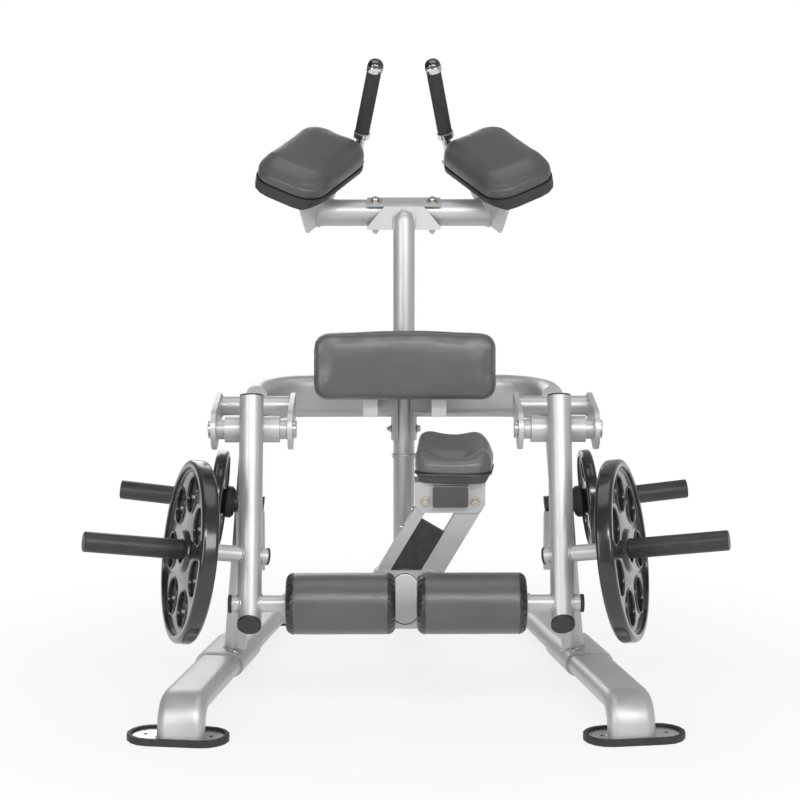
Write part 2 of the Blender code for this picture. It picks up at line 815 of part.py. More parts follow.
def make_stop_plate(upright, side_name, side):
    """A bent plate on the upright, a flange with a web, and the bar that reaches to the arm."""
    centre = upright_point(side, STOP_Z)
    outer_x = abs(centre.x) + UPRIGHT_RADIUS * 0.6
    flange_x = (outer_x + STOP_WEB_X - STOP_PLATE / 2.0) / 2.0
    flange_width = outer_x - STOP_WEB_X + STOP_PLATE / 2.0
    face_y = stop_face_y(side)
    flange_depth = STOP_PLATE + UPRIGHT_RADIUS * 0.35
    at_flange = Matrix.Translation((side * flange_x, face_y + flange_depth / 2.0, STOP_Z))
    join(upright, block(side_name + "_stop_flange", at_flange,
                        (flange_width, flange_depth, STOP_HEIGHT)))
    web_at = Matrix.Translation((side * STOP_WEB_X, face_y + STOP_WEB_DEPTH / 2.0 + WELD_PROUD,
                                 STOP_Z))
    web_size = (STOP_PLATE - 2.0 * WELD_PROUD, STOP_WEB_DEPTH, STOP_HEIGHT - 2.0 * WELD_PROUD)
    join(upright, block(side_name + "_stop_web", web_at, web_size))
    flange, arm_side, forward = stop_line(side)
    bar = rod(side_name + "_stop_bar", flange - forward * STOP_PLATE / 2.0, arm_side,
              STOP_BAR_RADIUS, "paint", PIN_STEPS)
    trim(bar, arm_rear(side) - ARM_FRONT * (BUMPER_LENGTH + GAP), ARM_FRONT)
    join(upright, bar)


# Hoop, yokes and pivots

def cross_centre():
    return Vector((0.0, PIVOT_Y + CROSS_BACK, PIVOT_Z + CROSS_RISE))


def make_hoop():
    hoop = make_hoop_tube("hoop")
    for side_name, side in SIDES:
        centre = cross_centre() + Vector((side * ARM_X, 0.0, 0.0))
        half = Vector((0.1, 0.0, 0.0))
        cut(hoop, rod(side_name + "_cope", centre - half, centre + half, CROSS_RADIUS + GAP))
    sleeve = rod("post_sleeve", (0.0, POST_Y, SLEEVE_BOTTOM_Z), (0.0, POST_Y, SLEEVE_TOP_Z),
                 POST_RADIUS + GAP + SLEEVE_WALL)
    join(hoop, sleeve)
    bore = rod("post_bore", (0.0, POST_Y, SLEEVE_BOTTOM_Z - 0.1),
               (0.0, POST_Y, SLEEVE_TOP_Z + 0.1), POST_RADIUS + GAP)
    cut(hoop, bore)
    slot_at = Matrix.Translation((0.0, POST_Y - 0.05, (SLEEVE_BOTTOM_Z + SLEEVE_TOP_Z) / 2.0))
    slot_height = SLEEVE_TOP_Z - SLEEVE_BOTTOM_Z + 0.02
    cut(hoop, block("post_slot", slot_at, (SLEEVE_SLOT, 0.1, slot_height)))
    return hoop


def yoke_matrix(x):
    """The plane of a yoke plate: its X runs along the machine's Y, its Y along Z."""
    return frame_of((x, 0.0, 0.0), Vector((0, 1, 0)), Vector((0, 0, 1)), Vector((1, 0, 0)))


def make_yoke(side_name, side):
    pivot = (PIVOT_Y, PIVOT_Z)
    cross = (cross_centre().y, cross_centre().z)
    outline = two_circle_outline(pivot, YOKE_PIVOT_RADIUS, cross, YOKE_TUBE_RADIUS)
    pin_hole = circle_outline(clear_of(PIN_RADIUS, GAP, PIN_STEPS), PIN_STEPS, pivot)
    reach = YOKE_INNER_WIDTH / 2.0 + YOKE_PLATE / 2.0
    outer = plate(side_name + "_yoke_outer", [outline, pin_hole], YOKE_PLATE,
                  yoke_matrix(side * (ARM_X + reach)))
    centre = cross_centre()
    inner_x = ARM_X - YOKE_INNER_WIDTH / 2.0 + GAP
    outer_x = ARM_X + YOKE_INNER_WIDTH / 2.0 + YOKE_PLATE / 2.0
    join(outer, rod(side_name + "_cross_tube", (side * inner_x, centre.y, centre.z),
                    (side * outer_x, centre.y, centre.z), CROSS_RADIUS))
    inner = plate(side_name + "_yoke_inner", [outline, pin_hole], YOKE_PLATE,
                  yoke_matrix(side * (ARM_X - reach)))
    add_boss(outer, side_name + "_outer_boss", side, side)
    add_boss(inner, side_name + "_inner_boss", side, -side)


def add_boss(yoke, name, side, direction):
    """The round boss on the inside of a yoke plate that keeps the arm's housing in the middle."""
    start = HOUSING_LENGTH / 2.0 + GAP
    length = YOKE_INNER_WIDTH / 2.0 + YOKE_PLATE / 2.0 - start
    bore = clear_of(PIN_RADIUS, GAP, PIN_STEPS)
    profile = [(bore, 0.0), (BUSH_RADIUS, 0.0), (BUSH_RADIUS, length), (bore, length)]
    centre = Vector((side * ARM_X + direction * start, PIVOT_Y, PIVOT_Z))
    join(yoke, turned(name, profile, frame_at(centre, (direction, 0.0, 0.0)), "paint", PIN_STEPS))


def make_pivot_pin(side_name, side):
    """The pin through the yoke, with a round head outside each plate."""
    half = YOKE_INNER_WIDTH / 2.0 + YOKE_PLATE + GAP
    x_start = side * ARM_X - half - PIN_HEAD_LENGTH
    length = 2.0 * (half + PIN_HEAD_LENGTH)
    rim = PIN_HEAD_RADIUS - 0.002
    profile = [(0.0, 0.0), (rim, 0.0), (PIN_HEAD_RADIUS, 0.002),
               (PIN_HEAD_RADIUS, PIN_HEAD_LENGTH), (PIN_RADIUS, PIN_HEAD_LENGTH),
               (PIN_RADIUS, length - PIN_HEAD_LENGTH), (PIN_HEAD_RADIUS, length - PIN_HEAD_LENGTH),
               (PIN_HEAD_RADIUS, length - 0.002), (rim, length), (0.0, length)]
    turned(side_name + "_pivot_pin", profile,
           frame_at((x_start, PIVOT_Y, PIVOT_Z), (1.0, 0.0, 0.0)), "steel", PIN_STEPS)


# Swing arms

ARM_DOWN = Vector((0.0, -math.sin(math.radians(ARM_LEAN_DEG)), -math.cos(math.radians(ARM_LEAN_DEG))))
ARM_FRONT = Vector((0.0, -math.cos(math.radians(ARM_LEAN_DEG)), math.sin(math.radians(ARM_LEAN_DEG))))


def arm_point(side, down):
    """A point on the arm tube's axis, measured along it from the level of the pivot."""
    pivot = Vector((side * ARM_X, PIVOT_Y, PIVOT_Z))
    return pivot + ARM_FRONT * ARM_OFFSET + ARM_DOWN * down


def peg_direction(side):
    forward = math.radians(PEG_FORWARD_DEG)
    rise = math.radians(PEG_RISE_DEG)
    return Vector((side * math.cos(forward) * math.cos(rise), -math.sin(forward) * math.cos(rise),
                   math.sin(rise)))


def make_arm(side_name, side):
    """The arm tube with its pivot housing; its lower end is cut on a slant."""
    top = arm_point(side, -ARM_ABOVE_PIVOT)
    bottom = arm_point(side, ARM_BELOW_PIVOT)
    tube = rod(side_name + "_arm", top, bottom + ARM_DOWN * 0.06, ARM_RADIUS)
    tilt = math.radians(ARM_END_CUT_DEG)
    slant = ARM_DOWN * math.cos(tilt) + ARM_FRONT * math.sin(tilt)
    trim(tube, bottom, slant)
    pivot = Vector((side * ARM_X, PIVOT_Y, PIVOT_Z))
    half = Vector((HOUSING_LENGTH / 2.0, 0.0, 0.0))
    join(tube, rod(side_name + "_housing", pivot - half, pivot + half, HOUSING_RADIUS))
    bore_half = Vector((HOUSING_LENGTH, 0.0, 0.0))
    cut(tube, rod(side_name + "_arm_bore", pivot - bore_half, pivot + bore_half,
                  clear_of(PIN_RADIUS, RUNNING_GAP, PIN_STEPS), steps=PIN_STEPS))
    seat = arm_point(side, PEG_DOWN)
    direction = peg_direction(side)
    cut(tube, rod(side_name + "_peg_hole", seat - direction * 0.08, seat + direction * 0.08,
                  clear_of(PEG_TUBE_RADIUS, GAP, ROUND_STEPS)))
    axle = arm_point(side, AXLE_DOWN)
    reach = Vector((0.1, 0.0, 0.0))
    cut(tube, rod(side_name + "_axle_hole", axle - reach, axle + reach,
                  clear_of(AXLE_RADIUS, GAP, ROUND_STEPS)))
    cap = rod(side_name + "_arm_end_cap", bottom - ARM_DOWN * 0.06, bottom + ARM_DOWN * 0.08,
              ARM_RADIUS, "rubber")
    trim(cap, bottom + slant * GAP, -slant)
    trim(cap, bottom + slant * (GAP + ARM_CAP_THICKNESS), slant)


def make_peg(side_name, side):
    """The silver tube through the arm with its stop flange, and the black sleeve outside it."""
    seat = arm_point(side, PEG_DOWN)
    matrix = frame_at(seat, peg_direction(side))
    stop = PEG_STOP_FROM_ARM
    core = PEG_SLEEVE_RADIUS - 0.006
    profile = [(0.0, -PEG_INNER_LENGTH), (PEG_TUBE_RADIUS, -PEG_INNER_LENGTH),
               (PEG_TUBE_RADIUS, stop - PEG_STOP_THICKNESS),
               (PEG_STOP_RADIUS, stop - PEG_STOP_THICKNESS), (PEG_STOP_RADIUS, stop),
               (core, stop), (core, PEG_OUTER_LENGTH - 0.010), (0.0, PEG_OUTER_LENGTH - 0.010)]
    turned(side_name + "_peg", profile, matrix)
    bore = core + GAP
    end = PEG_OUTER_LENGTH
    shell = [(bore, stop + GAP), (PEG_SLEEVE_RADIUS, stop + GAP), (PEG_SLEEVE_RADIUS, end - 0.003),
             (PEG_SLEEVE_RADIUS - 0.003, end), (0.0, end), (0.0, end - 0.010 + GAP),
             (bore, end - 0.010 + GAP)]
    closed_turned(side_name + "_peg_sleeve", shell, matrix, "plastic")


def closed_turned(name, profile, matrix, finish, steps=ROUND_STEPS):
    """A turned solid whose profile is closed and touches the axis."""
    bm = bmesh.new()
    verts = [bm.verts.new((radius, 0.0, height)) for radius, height in profile]
    edges = [bm.edges.new(pair) for pair in zip(verts, verts[1:] + verts[:1])
             if pair[0].co.x > TINY or pair[1].co.x > TINY]
    bmesh.ops.spin(bm, geom=verts + edges, cent=(0.0, 0.0, 0.0), axis=(0.0, 0.0, 1.0),
                   angle=2.0 * math.pi, steps=steps, use_merge=True, use_duplicate=False)
    bmesh.ops.remove_doubles(bm, verts=bm.verts, dist=TINY / 2.0)
    bmesh.ops.transform(bm, matrix=matrix, verts=bm.verts)
    return add_mesh(name, bm, finish)


def weight_plate(name, matrix, radius, thickness, rim, web, hub, bore, grips):
    """A rubber weight plate with a raised rim and hub, and round grip holes through its web."""
    count, circle, grip_radius, first_deg = grips
    half = thickness / 2.0
    half_web = web / 2.0
    bead = 0.005
    profile = [(bore, -half), (hub - bead, -half), (hub, -half_web),
               (radius - rim, -half_web), (radius - rim + bead, -half),
               (radius - bead, -half), (radius, -half + bead), (radius, half - bead),
               (radius - bead, half), (radius - rim + bead, half),
               (radius - rim, half_web), (hub, half_web), (hub - bead, half), (bore, half)]
    body = turned(name, profile, matrix, "gloss", PLATE_STEPS)
    for number in range(count):
        angle = math.radians(first_deg + 360.0 * number / count)
        centre = matrix @ Vector((circle * math.cos(angle), circle * math.sin(angle), 0.0))
        along = matrix.to_3x3() @ Vector((0.0, 0.0, 1.0))
        cut(body, rod(name + "_grip_" + str(number), centre - along * half, centre + along * half,
                      grip_radius, steps=GRIP_STEPS))
    return body


def make_large_plate(side_name, side):
    direction = peg_direction(side)
    along = PEG_STOP_FROM_ARM + GAP + PLATE_THICKNESS / 2.0
    hang = plate_frame(Vector(), direction, side).col[1].to_3d() * PLATE_HANG
    centre = arm_point(side, PEG_DOWN) + direction * along - hang
    grips = (PLATE_GRIPS, PLATE_GRIP_CIRCLE, PLATE_GRIP_RADIUS, 90.0)
    weight_plate(side_name + "_large_plate", plate_frame(centre, direction, side), PLATE_RADIUS,
                 PLATE_THICKNESS, PLATE_RIM_WIDTH, PLATE_WEB_THICKNESS, PLATE_HUB_RADIUS,
                 clear_of(PEG_SLEEVE_RADIUS, PLATE_HANG + RUNNING_GAP, PLATE_STEPS), grips)


def plate_frame(centre, direction, side):
    """A frame whose Z is the peg and whose Y points up, so that one grip is on top."""
    level = Vector((0.0, side, 0.0))
    up = direction.cross(level).normalized()
    x_dir = up.cross(direction).normalized()
    return frame_of(centre, x_dir, up, direction)


# Storage pegs

def store_axis(side):
    rise = math.radians(STORE_RISE_DEG)
    return upright_point(side, STORE_Z), Vector((side * math.cos(rise), 0.0, math.sin(rise)))


def make_store_peg(side_name, side):
    seat, direction = store_axis(side)
    start = seat - direction * STORE_INNER_LENGTH
    end = seat + direction * STORE_OUTER_LENGTH
    rod(side_name + "_store_peg", start, end, STORE_RADIUS, "plastic", bevel=0.003)
    bore = clear_of(STORE_RADIUS, GAP, ROUND_STEPS)
    round_over = 0.008
    near = store_donut_start()
    far = near + DONUT_LENGTH
    profile = [(bore, near), (DONUT_RADIUS - round_over, near), (DONUT_RADIUS, near + round_over),
               (DONUT_RADIUS, far - round_over), (DONUT_RADIUS - round_over, far), (bore, far)]
    turned(side_name + "_store_donut", profile, frame_at(seat, direction), "rubber")
    centre = seat + direction * (far + GAP + SMALL_THICKNESS / 2.0)
    grips = (SMALL_GRIPS, SMALL_GRIP_CIRCLE, SMALL_GRIP_RADIUS, 90.0)
    weight_plate(side_name + "_small_plate", plate_frame(centre, direction, side), SMALL_RADIUS,
                 SMALL_THICKNESS, SMALL_RIM_WIDTH, SMALL_WEB_THICKNESS, SMALL_HUB_RADIUS,
                 clear_of(STORE_RADIUS, RUNNING_GAP, PLATE_STEPS), grips)


def store_donut_start():
    """Where the donut starts along the peg: it just clears the leaning upright."""
    return UPRIGHT_RADIUS + DONUT_CLEARANCE


# Roller axles and rollers

def make_axle(side_name, side):
    seat = arm_point(side, AXLE_DOWN)
    inner_end = ARM_X - (ROLLER_CENTRE_X - ROLLER_LENGTH / 2.0)
    collar = ARM_X - (ROLLER_CENTRE_X + ROLLER_LENGTH / 2.0) - GAP
    core = AXLE_RADIUS - 0.009
    matrix = frame_at(seat, (-side, 0.0, 0.0))
    outer = -AXLE_OUTER_LENGTH
    profile = [(0.0, outer), (AXLE_RADIUS - 0.002, outer), (AXLE_RADIUS, outer + 0.002),
               (AXLE_RADIUS, collar - AXLE_COLLAR_LENGTH),
               (AXLE_COLLAR_RADIUS, collar - AXLE_COLLAR_LENGTH), (AXLE_COLLAR_RADIUS, collar),
               (core, collar), (core, inner_end - ROLLER_DISH), (0.0, inner_end - ROLLER_DISH)]
    turned(side_name + "_roller_axle", profile, matrix)
    bore = clear_of(core, RUNNING_GAP, ROLLER_STEPS)
    make_roller(side_name, side, seat, bore)


def make_roller(side_name, side, seat, bore):
    """A roller pad whose face is drawn in a little at the ends, where the cover is gathered."""
    start = side * (ROLLER_CENTRE_X - ROLLER_LENGTH / 2.0)
    edge = ROLLER_EDGE
    radius = ROLLER_RADIUS
    length = ROLLER_LENGTH
    hub = 0.030
    profile = [(bore, ROLLER_DISH), (hub, ROLLER_DISH), (radius * 0.62, ROLLER_DISH * 0.35),
               (radius - edge, 0.0), (radius - edge * 0.30, edge * 0.30),
               (radius, edge * 1.2), (radius, length - edge * 1.2),
               (radius - edge * 0.30, length - edge * 0.30), (radius - edge, length),
               (radius * 0.62, length - GAP), (hub, length - GAP), (bore, length - GAP)]
    matrix = frame_at((start, seat.y, seat.z), (side, 0.0, 0.0))
    turned(side_name + "_roller", profile, matrix, "vinyl", ROLLER_STEPS)


def make_bumper(side_name, side):
    """A short rubber bumper on the end of the stop bar, which the arm rests on."""
    flange, arm_side, forward = stop_line(side)
    bumper = rod(side_name + "_bumper", flange, arm_side + forward * 0.03, BUMPER_RADIUS,
                 "rubber", PIN_STEPS)
    face = arm_rear(side) - ARM_FRONT * GAP
    trim(bumper, face, ARM_FRONT)
    trim(bumper, face - ARM_FRONT * (BUMPER_LENGTH - GAP), -ARM_FRONT)


# Spine, post, mast and elbow bar

def spine_ends():
    run = Vector((0.0, SPINE_REAR_Y - SPINE_FRONT_Y, 0.0))
    rear_z = TIE_TOP + GAP + SPINE_HEIGHT / 2.0 * 1.026 - SPINE_REAR_BITE
    front = Vector((0.0, SPINE_FRONT_Y, SPINE_FRONT_Z))
    rear = front + run
    rear.z = rear_z
    return front, rear


def make_spine_tube(name, grow=0.0, beyond=0.0):
    front, rear = spine_ends()
    along = (rear - front).normalized()
    section = obround_outline(SPINE_WIDTH + 2.0 * grow, SPINE_HEIGHT + 2.0 * grow, 4)
    return sweep(name, [front - along * beyond, rear + along * beyond], section)


def make_spine():
    spine = make_spine_tube("spine")
    floor = Matrix.Translation((0.0, SPINE_REAR_Y, TIE_TOP + GAP - 0.05))
    cut(spine, block("spine_floor", floor, (0.3, 0.5, 0.1)))
    join(spine, make_link_base())


def make_post():
    front, rear = spine_ends()
    along = (rear - front).normalized()
    bottom_z = front.z + along.z * (POST_Y - front.y) / along.y
    post = rod("lower_post", (0.0, POST_Y, bottom_z), (0.0, POST_Y, POST_JOINT_Z), POST_RADIUS)
    ring_bottom = POST_JOINT_Z - POST_RING_HEIGHT
    join(post, rod("post_ring", (0.0, POST_Y, ring_bottom), (0.0, POST_Y, POST_JOINT_Z - GAP),
                   POST_RING_RADIUS))
    cut(post, make_spine_tube("post_spine_cutter", GAP, 0.05))


def make_mast():
    """The mast with the head that holds the elbow bar behind the mast's domed top.

    A trapezoid plate stands behind the mast's front half, a tilted strap runs over the bar and
    a lip runs under it.
    """
    top_z = BAR_Z + DOME_RISE - POST_RADIUS
    foot_z = POST_JOINT_Z + GAP
    dome = arc(0.0, top_z, POST_RADIUS, 0.0, 90.0, DOME_STEPS)[:-1]
    profile = [(0.0, foot_z), (POST_RADIUS, foot_z)] + dome + [(0.0, top_z + POST_RADIUS)]
    mast = turned("mast", profile, Matrix.Translation((0.0, POST_Y, 0.0)))
    wide = HEAD_LENGTH / 2.0
    narrow = HEAD_NARROW_LENGTH / 2.0
    low = -BAR_RADIUS - GAP - HEAD_WALL
    outline = [(-wide, low), (wide, low), (wide, low + HEAD_WALL), (narrow, HEAD_NARROW_RISE),
               (-narrow, HEAD_NARROW_RISE), (-wide, low + HEAD_WALL)]
    matrix = frame_of((0.0, POST_Y + HEAD_WALL / 2.0, BAR_Z), Vector((1, 0, 0)),
                      Vector((0, 0, 1)), Vector((0, -1, 0)))
    join(mast, plate("mast_head", [outline], HEAD_WALL, matrix))
    lip_end = BAR_Y + HEAD_LIP
    lip = Matrix.Translation((0.0, (POST_Y + lip_end) / 2.0, BAR_Z + low + HEAD_WALL / 2.0))
    join(mast, block("mast_lip", lip, (HEAD_LENGTH, lip_end - POST_Y, HEAD_WALL)))
    tilt = math.radians(HEAD_TILT_DEG)
    upward = Vector((0.0, -math.sin(tilt), math.cos(tilt)))
    forward = Vector((0.0, -math.cos(tilt), -math.sin(tilt)))
    lift = BAR_RADIUS + GAP + HEAD_WALL / 2.0
    reach = (BAR_BEHIND_MAST - lift * math.sin(tilt)) / math.cos(tilt)
    middle = Vector((0.0, BAR_Y, BAR_Z)) + upward * lift + forward * (reach - HEAD_STRAP_WIDTH / 2.0)
    strap = frame_of(middle, Vector((1, 0, 0)), -forward, upward)
    join(mast, block("mast_strap", strap, (HEAD_LENGTH, HEAD_STRAP_WIDTH, HEAD_WALL)))
    cut(mast, rod("bar_bore", (-0.2, BAR_Y, BAR_Z), (0.2, BAR_Y, BAR_Z), BAR_RADIUS + GAP))


def elbow_frame(side):
    """The elbow pad's frame: X across its width, Y along its length, Z out of its face."""
    toe = math.radians(ELBOW_TOE_DEG)
    slope = math.radians(ELBOW_SLOPE_DEG)
    along = Vector((-side * math.sin(toe) * math.cos(slope), math.cos(toe) * math.cos(slope),
                    math.sin(slope)))
    level = along.cross(Vector((0.0, 0.0, 1.0))).normalized()
    turn = Matrix.Rotation(-side * math.radians(ELBOW_ROLL_DEG), 3, along)
    across = turn @ level
    out = across.cross(along)
    origin = Vector((side * ELBOW_X, ELBOW_Y, ELBOW_Z))
    return frame_of(origin, across, along, out)


def make_elbow_bar():
    """The round bar in the mast's head; its ends are cut to lie on the brackets."""
    reach = ELBOW_X + 0.06
    bar = rod("elbow_bar", (-reach, BAR_Y, BAR_Z), (reach, BAR_Y, BAR_Z), BAR_RADIUS)
    for side_name, side in SIDES:
        frame = elbow_frame(side)
        inner = -side * GUSSET_OFFSET
        face = frame @ Vector((inner, 0.0, 0.0))
        outward = frame.to_3x3() @ Vector((side, 0.0, 0.0))
        trim(bar, face - outward * GAP, outward)
    return bar


def make_elbow_bracket(side_name, side):
    """A strap under the pad's board and a gusset plate that ties it to the elbow bar."""
    frame = elbow_frame(side)
    inner = -side
    strap_y0 = GUSSET_TOP_NEAR
    strap_y1 = ELBOW_LENGTH / 2.0 + STRAP_BEYOND
    at_strap = frame @ Matrix.Translation((inner * STRAP_OFFSET, (strap_y0 + strap_y1) / 2.0,
                                           -GAP - STRAP_THICKNESS / 2.0))
    bracket = block(side_name + "_elbow_bracket", at_strap,
                    (STRAP_WIDTH, strap_y1 - strap_y0, STRAP_THICKNESS))
    top = -GAP - STRAP_THICKNESS / 2.0
    outline = [(GUSSET_TOP_NEAR, top), (GUSSET_TOP_FAR, top),
               (GUSSET_BOTTOM_FAR, -GUSSET_DROP), (GUSSET_BOTTOM_NEAR, -GUSSET_DROP)]
    gusset_x = inner * (GUSSET_OFFSET - GUSSET_THICKNESS / 2.0)
    plane = frame @ frame_of((gusset_x, 0.0, 0.0), Vector((0, 1, 0)), Vector((0, 0, 1)),
                             Vector((1, 0, 0)))
    join(bracket, plate(side_name + "_elbow_gusset", [outline], GUSSET_THICKNESS, plane))


def make_elbow_pad(side_name, side):
    frame = elbow_frame(side)
    outline = rounded_outline(ELBOW_WIDTH, ELBOW_LENGTH, ELBOW_CORNER)
    board_at = frame @ Matrix.Translation((0.0, 0.0, ELBOW_BOARD / 2.0))
    board = plate(side_name + "_elbow_board", [outline], ELBOW_BOARD, board_at, "board",
                  bevel=0.002)
    edge = frame @ Vector((-side * ELBOW_WIDTH / 2.0, 0.0, ELBOW_EDGE_RISE))
    start = frame @ Vector((-side * (STRAP_OFFSET + STRAP_WIDTH / 2.0 + STRAP_MARGIN), 0.0, 0.0))
    along = frame.to_3x3() @ Vector((0.0, 1.0, 0.0))
    below = (edge - start).cross(along).normalized()
    if below.dot(frame.to_3x3() @ Vector((0.0, 0.0, 1.0))) > 0.0:
        below = -below
    trim(board, start, below)
    cushion_at = frame @ Matrix.Translation((0.0, 0.0, ELBOW_BOARD + GAP))
    cushion(side_name + "_elbow_cushion", ELBOW_WIDTH, ELBOW_LENGTH, ELBOW_CORNER, ELBOW_CUSHION,
            cushion_at, crown=0.20, slope=0.012, drawn_in=0.003)


def make_handle(side_name, side):
    """A grip on a short neck that stands on the strap beyond the pad's far end."""
    frame = elbow_frame(side)
    x = -side * HANDLE_OFFSET
    y = ELBOW_LENGTH / 2.0 + STRAP_BEYOND - HANDLE_NECK_RADIUS - 0.004
    neck = HANDLE_NECK_LENGTH
    low_collar = neck + HANDLE_COLLAR_LENGTH
    grip_end = low_collar + HANDLE_GRIP_LENGTH
    high_collar = grip_end + HANDLE_COLLAR_LENGTH
    ball = HANDLE_COLLAR_RADIUS
    dome = HANDLE_DOME_HEIGHT
    profile = [(0.0, 0.0), (HANDLE_NECK_RADIUS, 0.0), (HANDLE_NECK_RADIUS, neck), (ball, neck),
               (ball, low_collar), (HANDLE_GRIP_RADIUS, low_collar),
               (HANDLE_GRIP_RADIUS, grip_end), (ball, grip_end), (ball, high_collar),
               (ball * 0.92, high_collar + dome * 0.45), (ball * 0.60, high_collar + dome * 0.85),
               (0.0, high_collar + dome)]
    matrix = frame @ Matrix.Translation((x, y, 0.0))
    turned(side_name + "_handle", profile, matrix, "chrome", PIN_STEPS)


# Thigh pad

def thigh_frame():
    """X to the right, Y up the pad's face, Z towards the user; the origin is on the board."""
    lean = math.radians(THIGH_LEAN_DEG)
    out = Vector((0.0, -math.cos(lean), math.sin(lean)))
    up = Vector((0.0, math.sin(lean), math.cos(lean)))
    back_y = THIGH_FRONT_Y + THIGH_CUSHION + THIGH_BOARD
    return frame_of((0.0, back_y, THIGH_Z), Vector((1.0, 0.0, 0.0)), up, out)


def make_thigh_pad():
    frame = thigh_frame()
    board_at = frame @ Matrix.Translation((0.0, 0.0, THIGH_BOARD / 2.0))
    board = rounded_outline(THIGH_WIDTH - 0.012, THIGH_HEIGHT - 0.012, THIGH_CORNER - 0.006)
    plate("thigh_board", [board], THIGH_BOARD, board_at, "board", bevel=0.002)
    cushion_at = frame @ Matrix.Translation((0.0, 0.0, THIGH_BOARD + GAP))
    cushion("thigh_cushion", THIGH_WIDTH, THIGH_HEIGHT, THIGH_CORNER, THIGH_CUSHION, cushion_at,
            crown=0.14, bow=THIGH_BOW, drawn_in=0.006, corner_steps=4)


def make_thigh_bracket():
    """Two short arms from the hoop to a cross plate behind the thigh pad's board."""
    frame = thigh_frame()
    cross_at = frame @ Matrix.Translation((0.0, THIGH_BRACKET_Z - THIGH_Z + THIGH_CROSS_HEIGHT,
                                           -GAP - STRAP_THICKNESS / 2.0))
    width = 2.0 * THIGH_BRACKET_X + THIGH_BRACKET_WIDTH
    bracket = block("thigh_bracket", cross_at, (width, THIGH_CROSS_HEIGHT, STRAP_THICKNESS))
    front_y = frame.translation.y
    depth = HOOP_BACK_Y - front_y
    for side_name, side in SIDES:
        at_arm = Matrix.Translation((side * THIGH_BRACKET_X, front_y + depth / 2.0,
                                     THIGH_BRACKET_Z))
        join(bracket, block(side_name + "_thigh_arm", at_arm,
                            (THIGH_BRACKET_WIDTH - 2.0 * WELD_PROUD, depth, THIGH_BRACKET_HEIGHT)))
    keep_off = frame @ Matrix.Translation((0.0, 0.0, 0.1 - GAP))
    cut(bracket, block("thigh_board_space", keep_off, (0.6, 0.4, 0.2)))
    cut(bracket, make_hoop_tube("thigh_hoop_cutter", GAP))


# Knee pad linkage

REST = math.radians(LINK_REST_DEG)
LINK_ALONG = Vector((math.sin(REST), 0.0, math.cos(REST)))
LINK_ACROSS = Vector((math.cos(REST), 0.0, -math.sin(REST)))
LINK_MIDDLE_Y = LINK_FRONT_Y + LINK_DEPTH / 2.0


def link_pivot(sign, top=False):
    """The pivot of link a (sign -1) or link b (sign +1), at its foot or its top."""
    base = Vector((sign * LINK_SPACING / 2.0, LINK_MIDDLE_Y, LINK_PIVOT_Z))
    if top:
        base += LINK_ALONG * LINK_LENGTH
    return base


def make_link(name, sign, width):
    """A flat link with a round eye at each end and a bore through each eye."""
    eye = max(LINK_EYE_RADIUS, width / 2.0) if width > LINK_A_WIDTH else LINK_EYE_RADIUS * 0.8
    matrix = frame_of(link_pivot(sign), LINK_ALONG, LINK_ACROSS, Vector((0.0, -1.0, 0.0)))
    straight = [(0.0, -width / 2.0), (LINK_LENGTH, -width / 2.0),
                (LINK_LENGTH, width / 2.0), (0.0, width / 2.0)]
    link = plate(name, [straight], LINK_DEPTH, matrix)
    half = Vector((0.0, LINK_DEPTH / 2.0, 0.0))
    for top in (False, True):
        centre = link_pivot(sign, top)
        end_name = name + ("_top" if top else "_foot")
        join(link, rod(end_name + "_eye", centre - half, centre + half, eye, steps=PIN_STEPS))
    for top in (False, True):
        centre = link_pivot(sign, top)
        end_name = name + ("_top" if top else "_foot")
        cut(link, rod(end_name + "_bore", centre - half * 2.0, centre + half * 2.0,
                      clear_of(LINK_PIN_RADIUS, RUNNING_GAP, SMALL_STEPS), steps=SMALL_STEPS))
    return link


def make_link_block():
    """The rubber block on link a, which meets link b at both ends of the swing."""
    tangent = math.tan(REST)
    left_x = -LINK_SPACING / 2.0 + (LINK_A_WIDTH / 2.0 + GAP) / math.cos(REST)
    right_x = LINK_SPACING / 2.0 - (LINK_B_WIDTH / 2.0 + GAP) / math.cos(REST)
    low = BLOCK_BOTTOM_Z - LINK_PIVOT_Z
    high_left = BLOCK_TOP_ALONG * math.cos(REST)
    high_right = high_left - (right_x - left_x) * math.cos(REST) * math.sin(REST)
    outline = [(left_x + low * tangent, low), (right_x + low * tangent, low),
               (right_x + high_right * tangent, high_right),
               (left_x + high_left * tangent, high_left)]
    matrix = frame_of((0.0, LINK_MIDDLE_Y, LINK_PIVOT_Z), Vector((1, 0, 0)), Vector((0, 0, 1)),
                      Vector((0, -1, 0)))
    plate("link_stop_block", [outline], LINK_DEPTH - 0.004, matrix, "rubber")


def clevis_faces():
    """The y of the inner faces of the two plates that hold the links."""
    return LINK_FRONT_Y - GAP * 2.0, LINK_FRONT_Y + LINK_DEPTH + GAP * 2.0


def clevis_outline():
    """The clevis plate: square below, with a round ear about each link pin at the top."""
    half = CLEVIS_WIDTH / 2.0
    corner = CLEVIS_CORNER
    pin_x = LINK_SPACING / 2.0
    ear_deg = math.degrees(math.acos((half - pin_x) / CLEVIS_EAR_RADIUS))
    lower = arc(half - corner, CLEVIS_BOTTOM_Z + corner, corner, -90.0, 0.0, 3)
    ear = arc(pin_x, LINK_PIVOT_Z, CLEVIS_EAR_RADIUS, -ear_deg, 90.0, 6)
    right = lower + ear
    return right + [(-x, z) for x, z in reversed(right)]


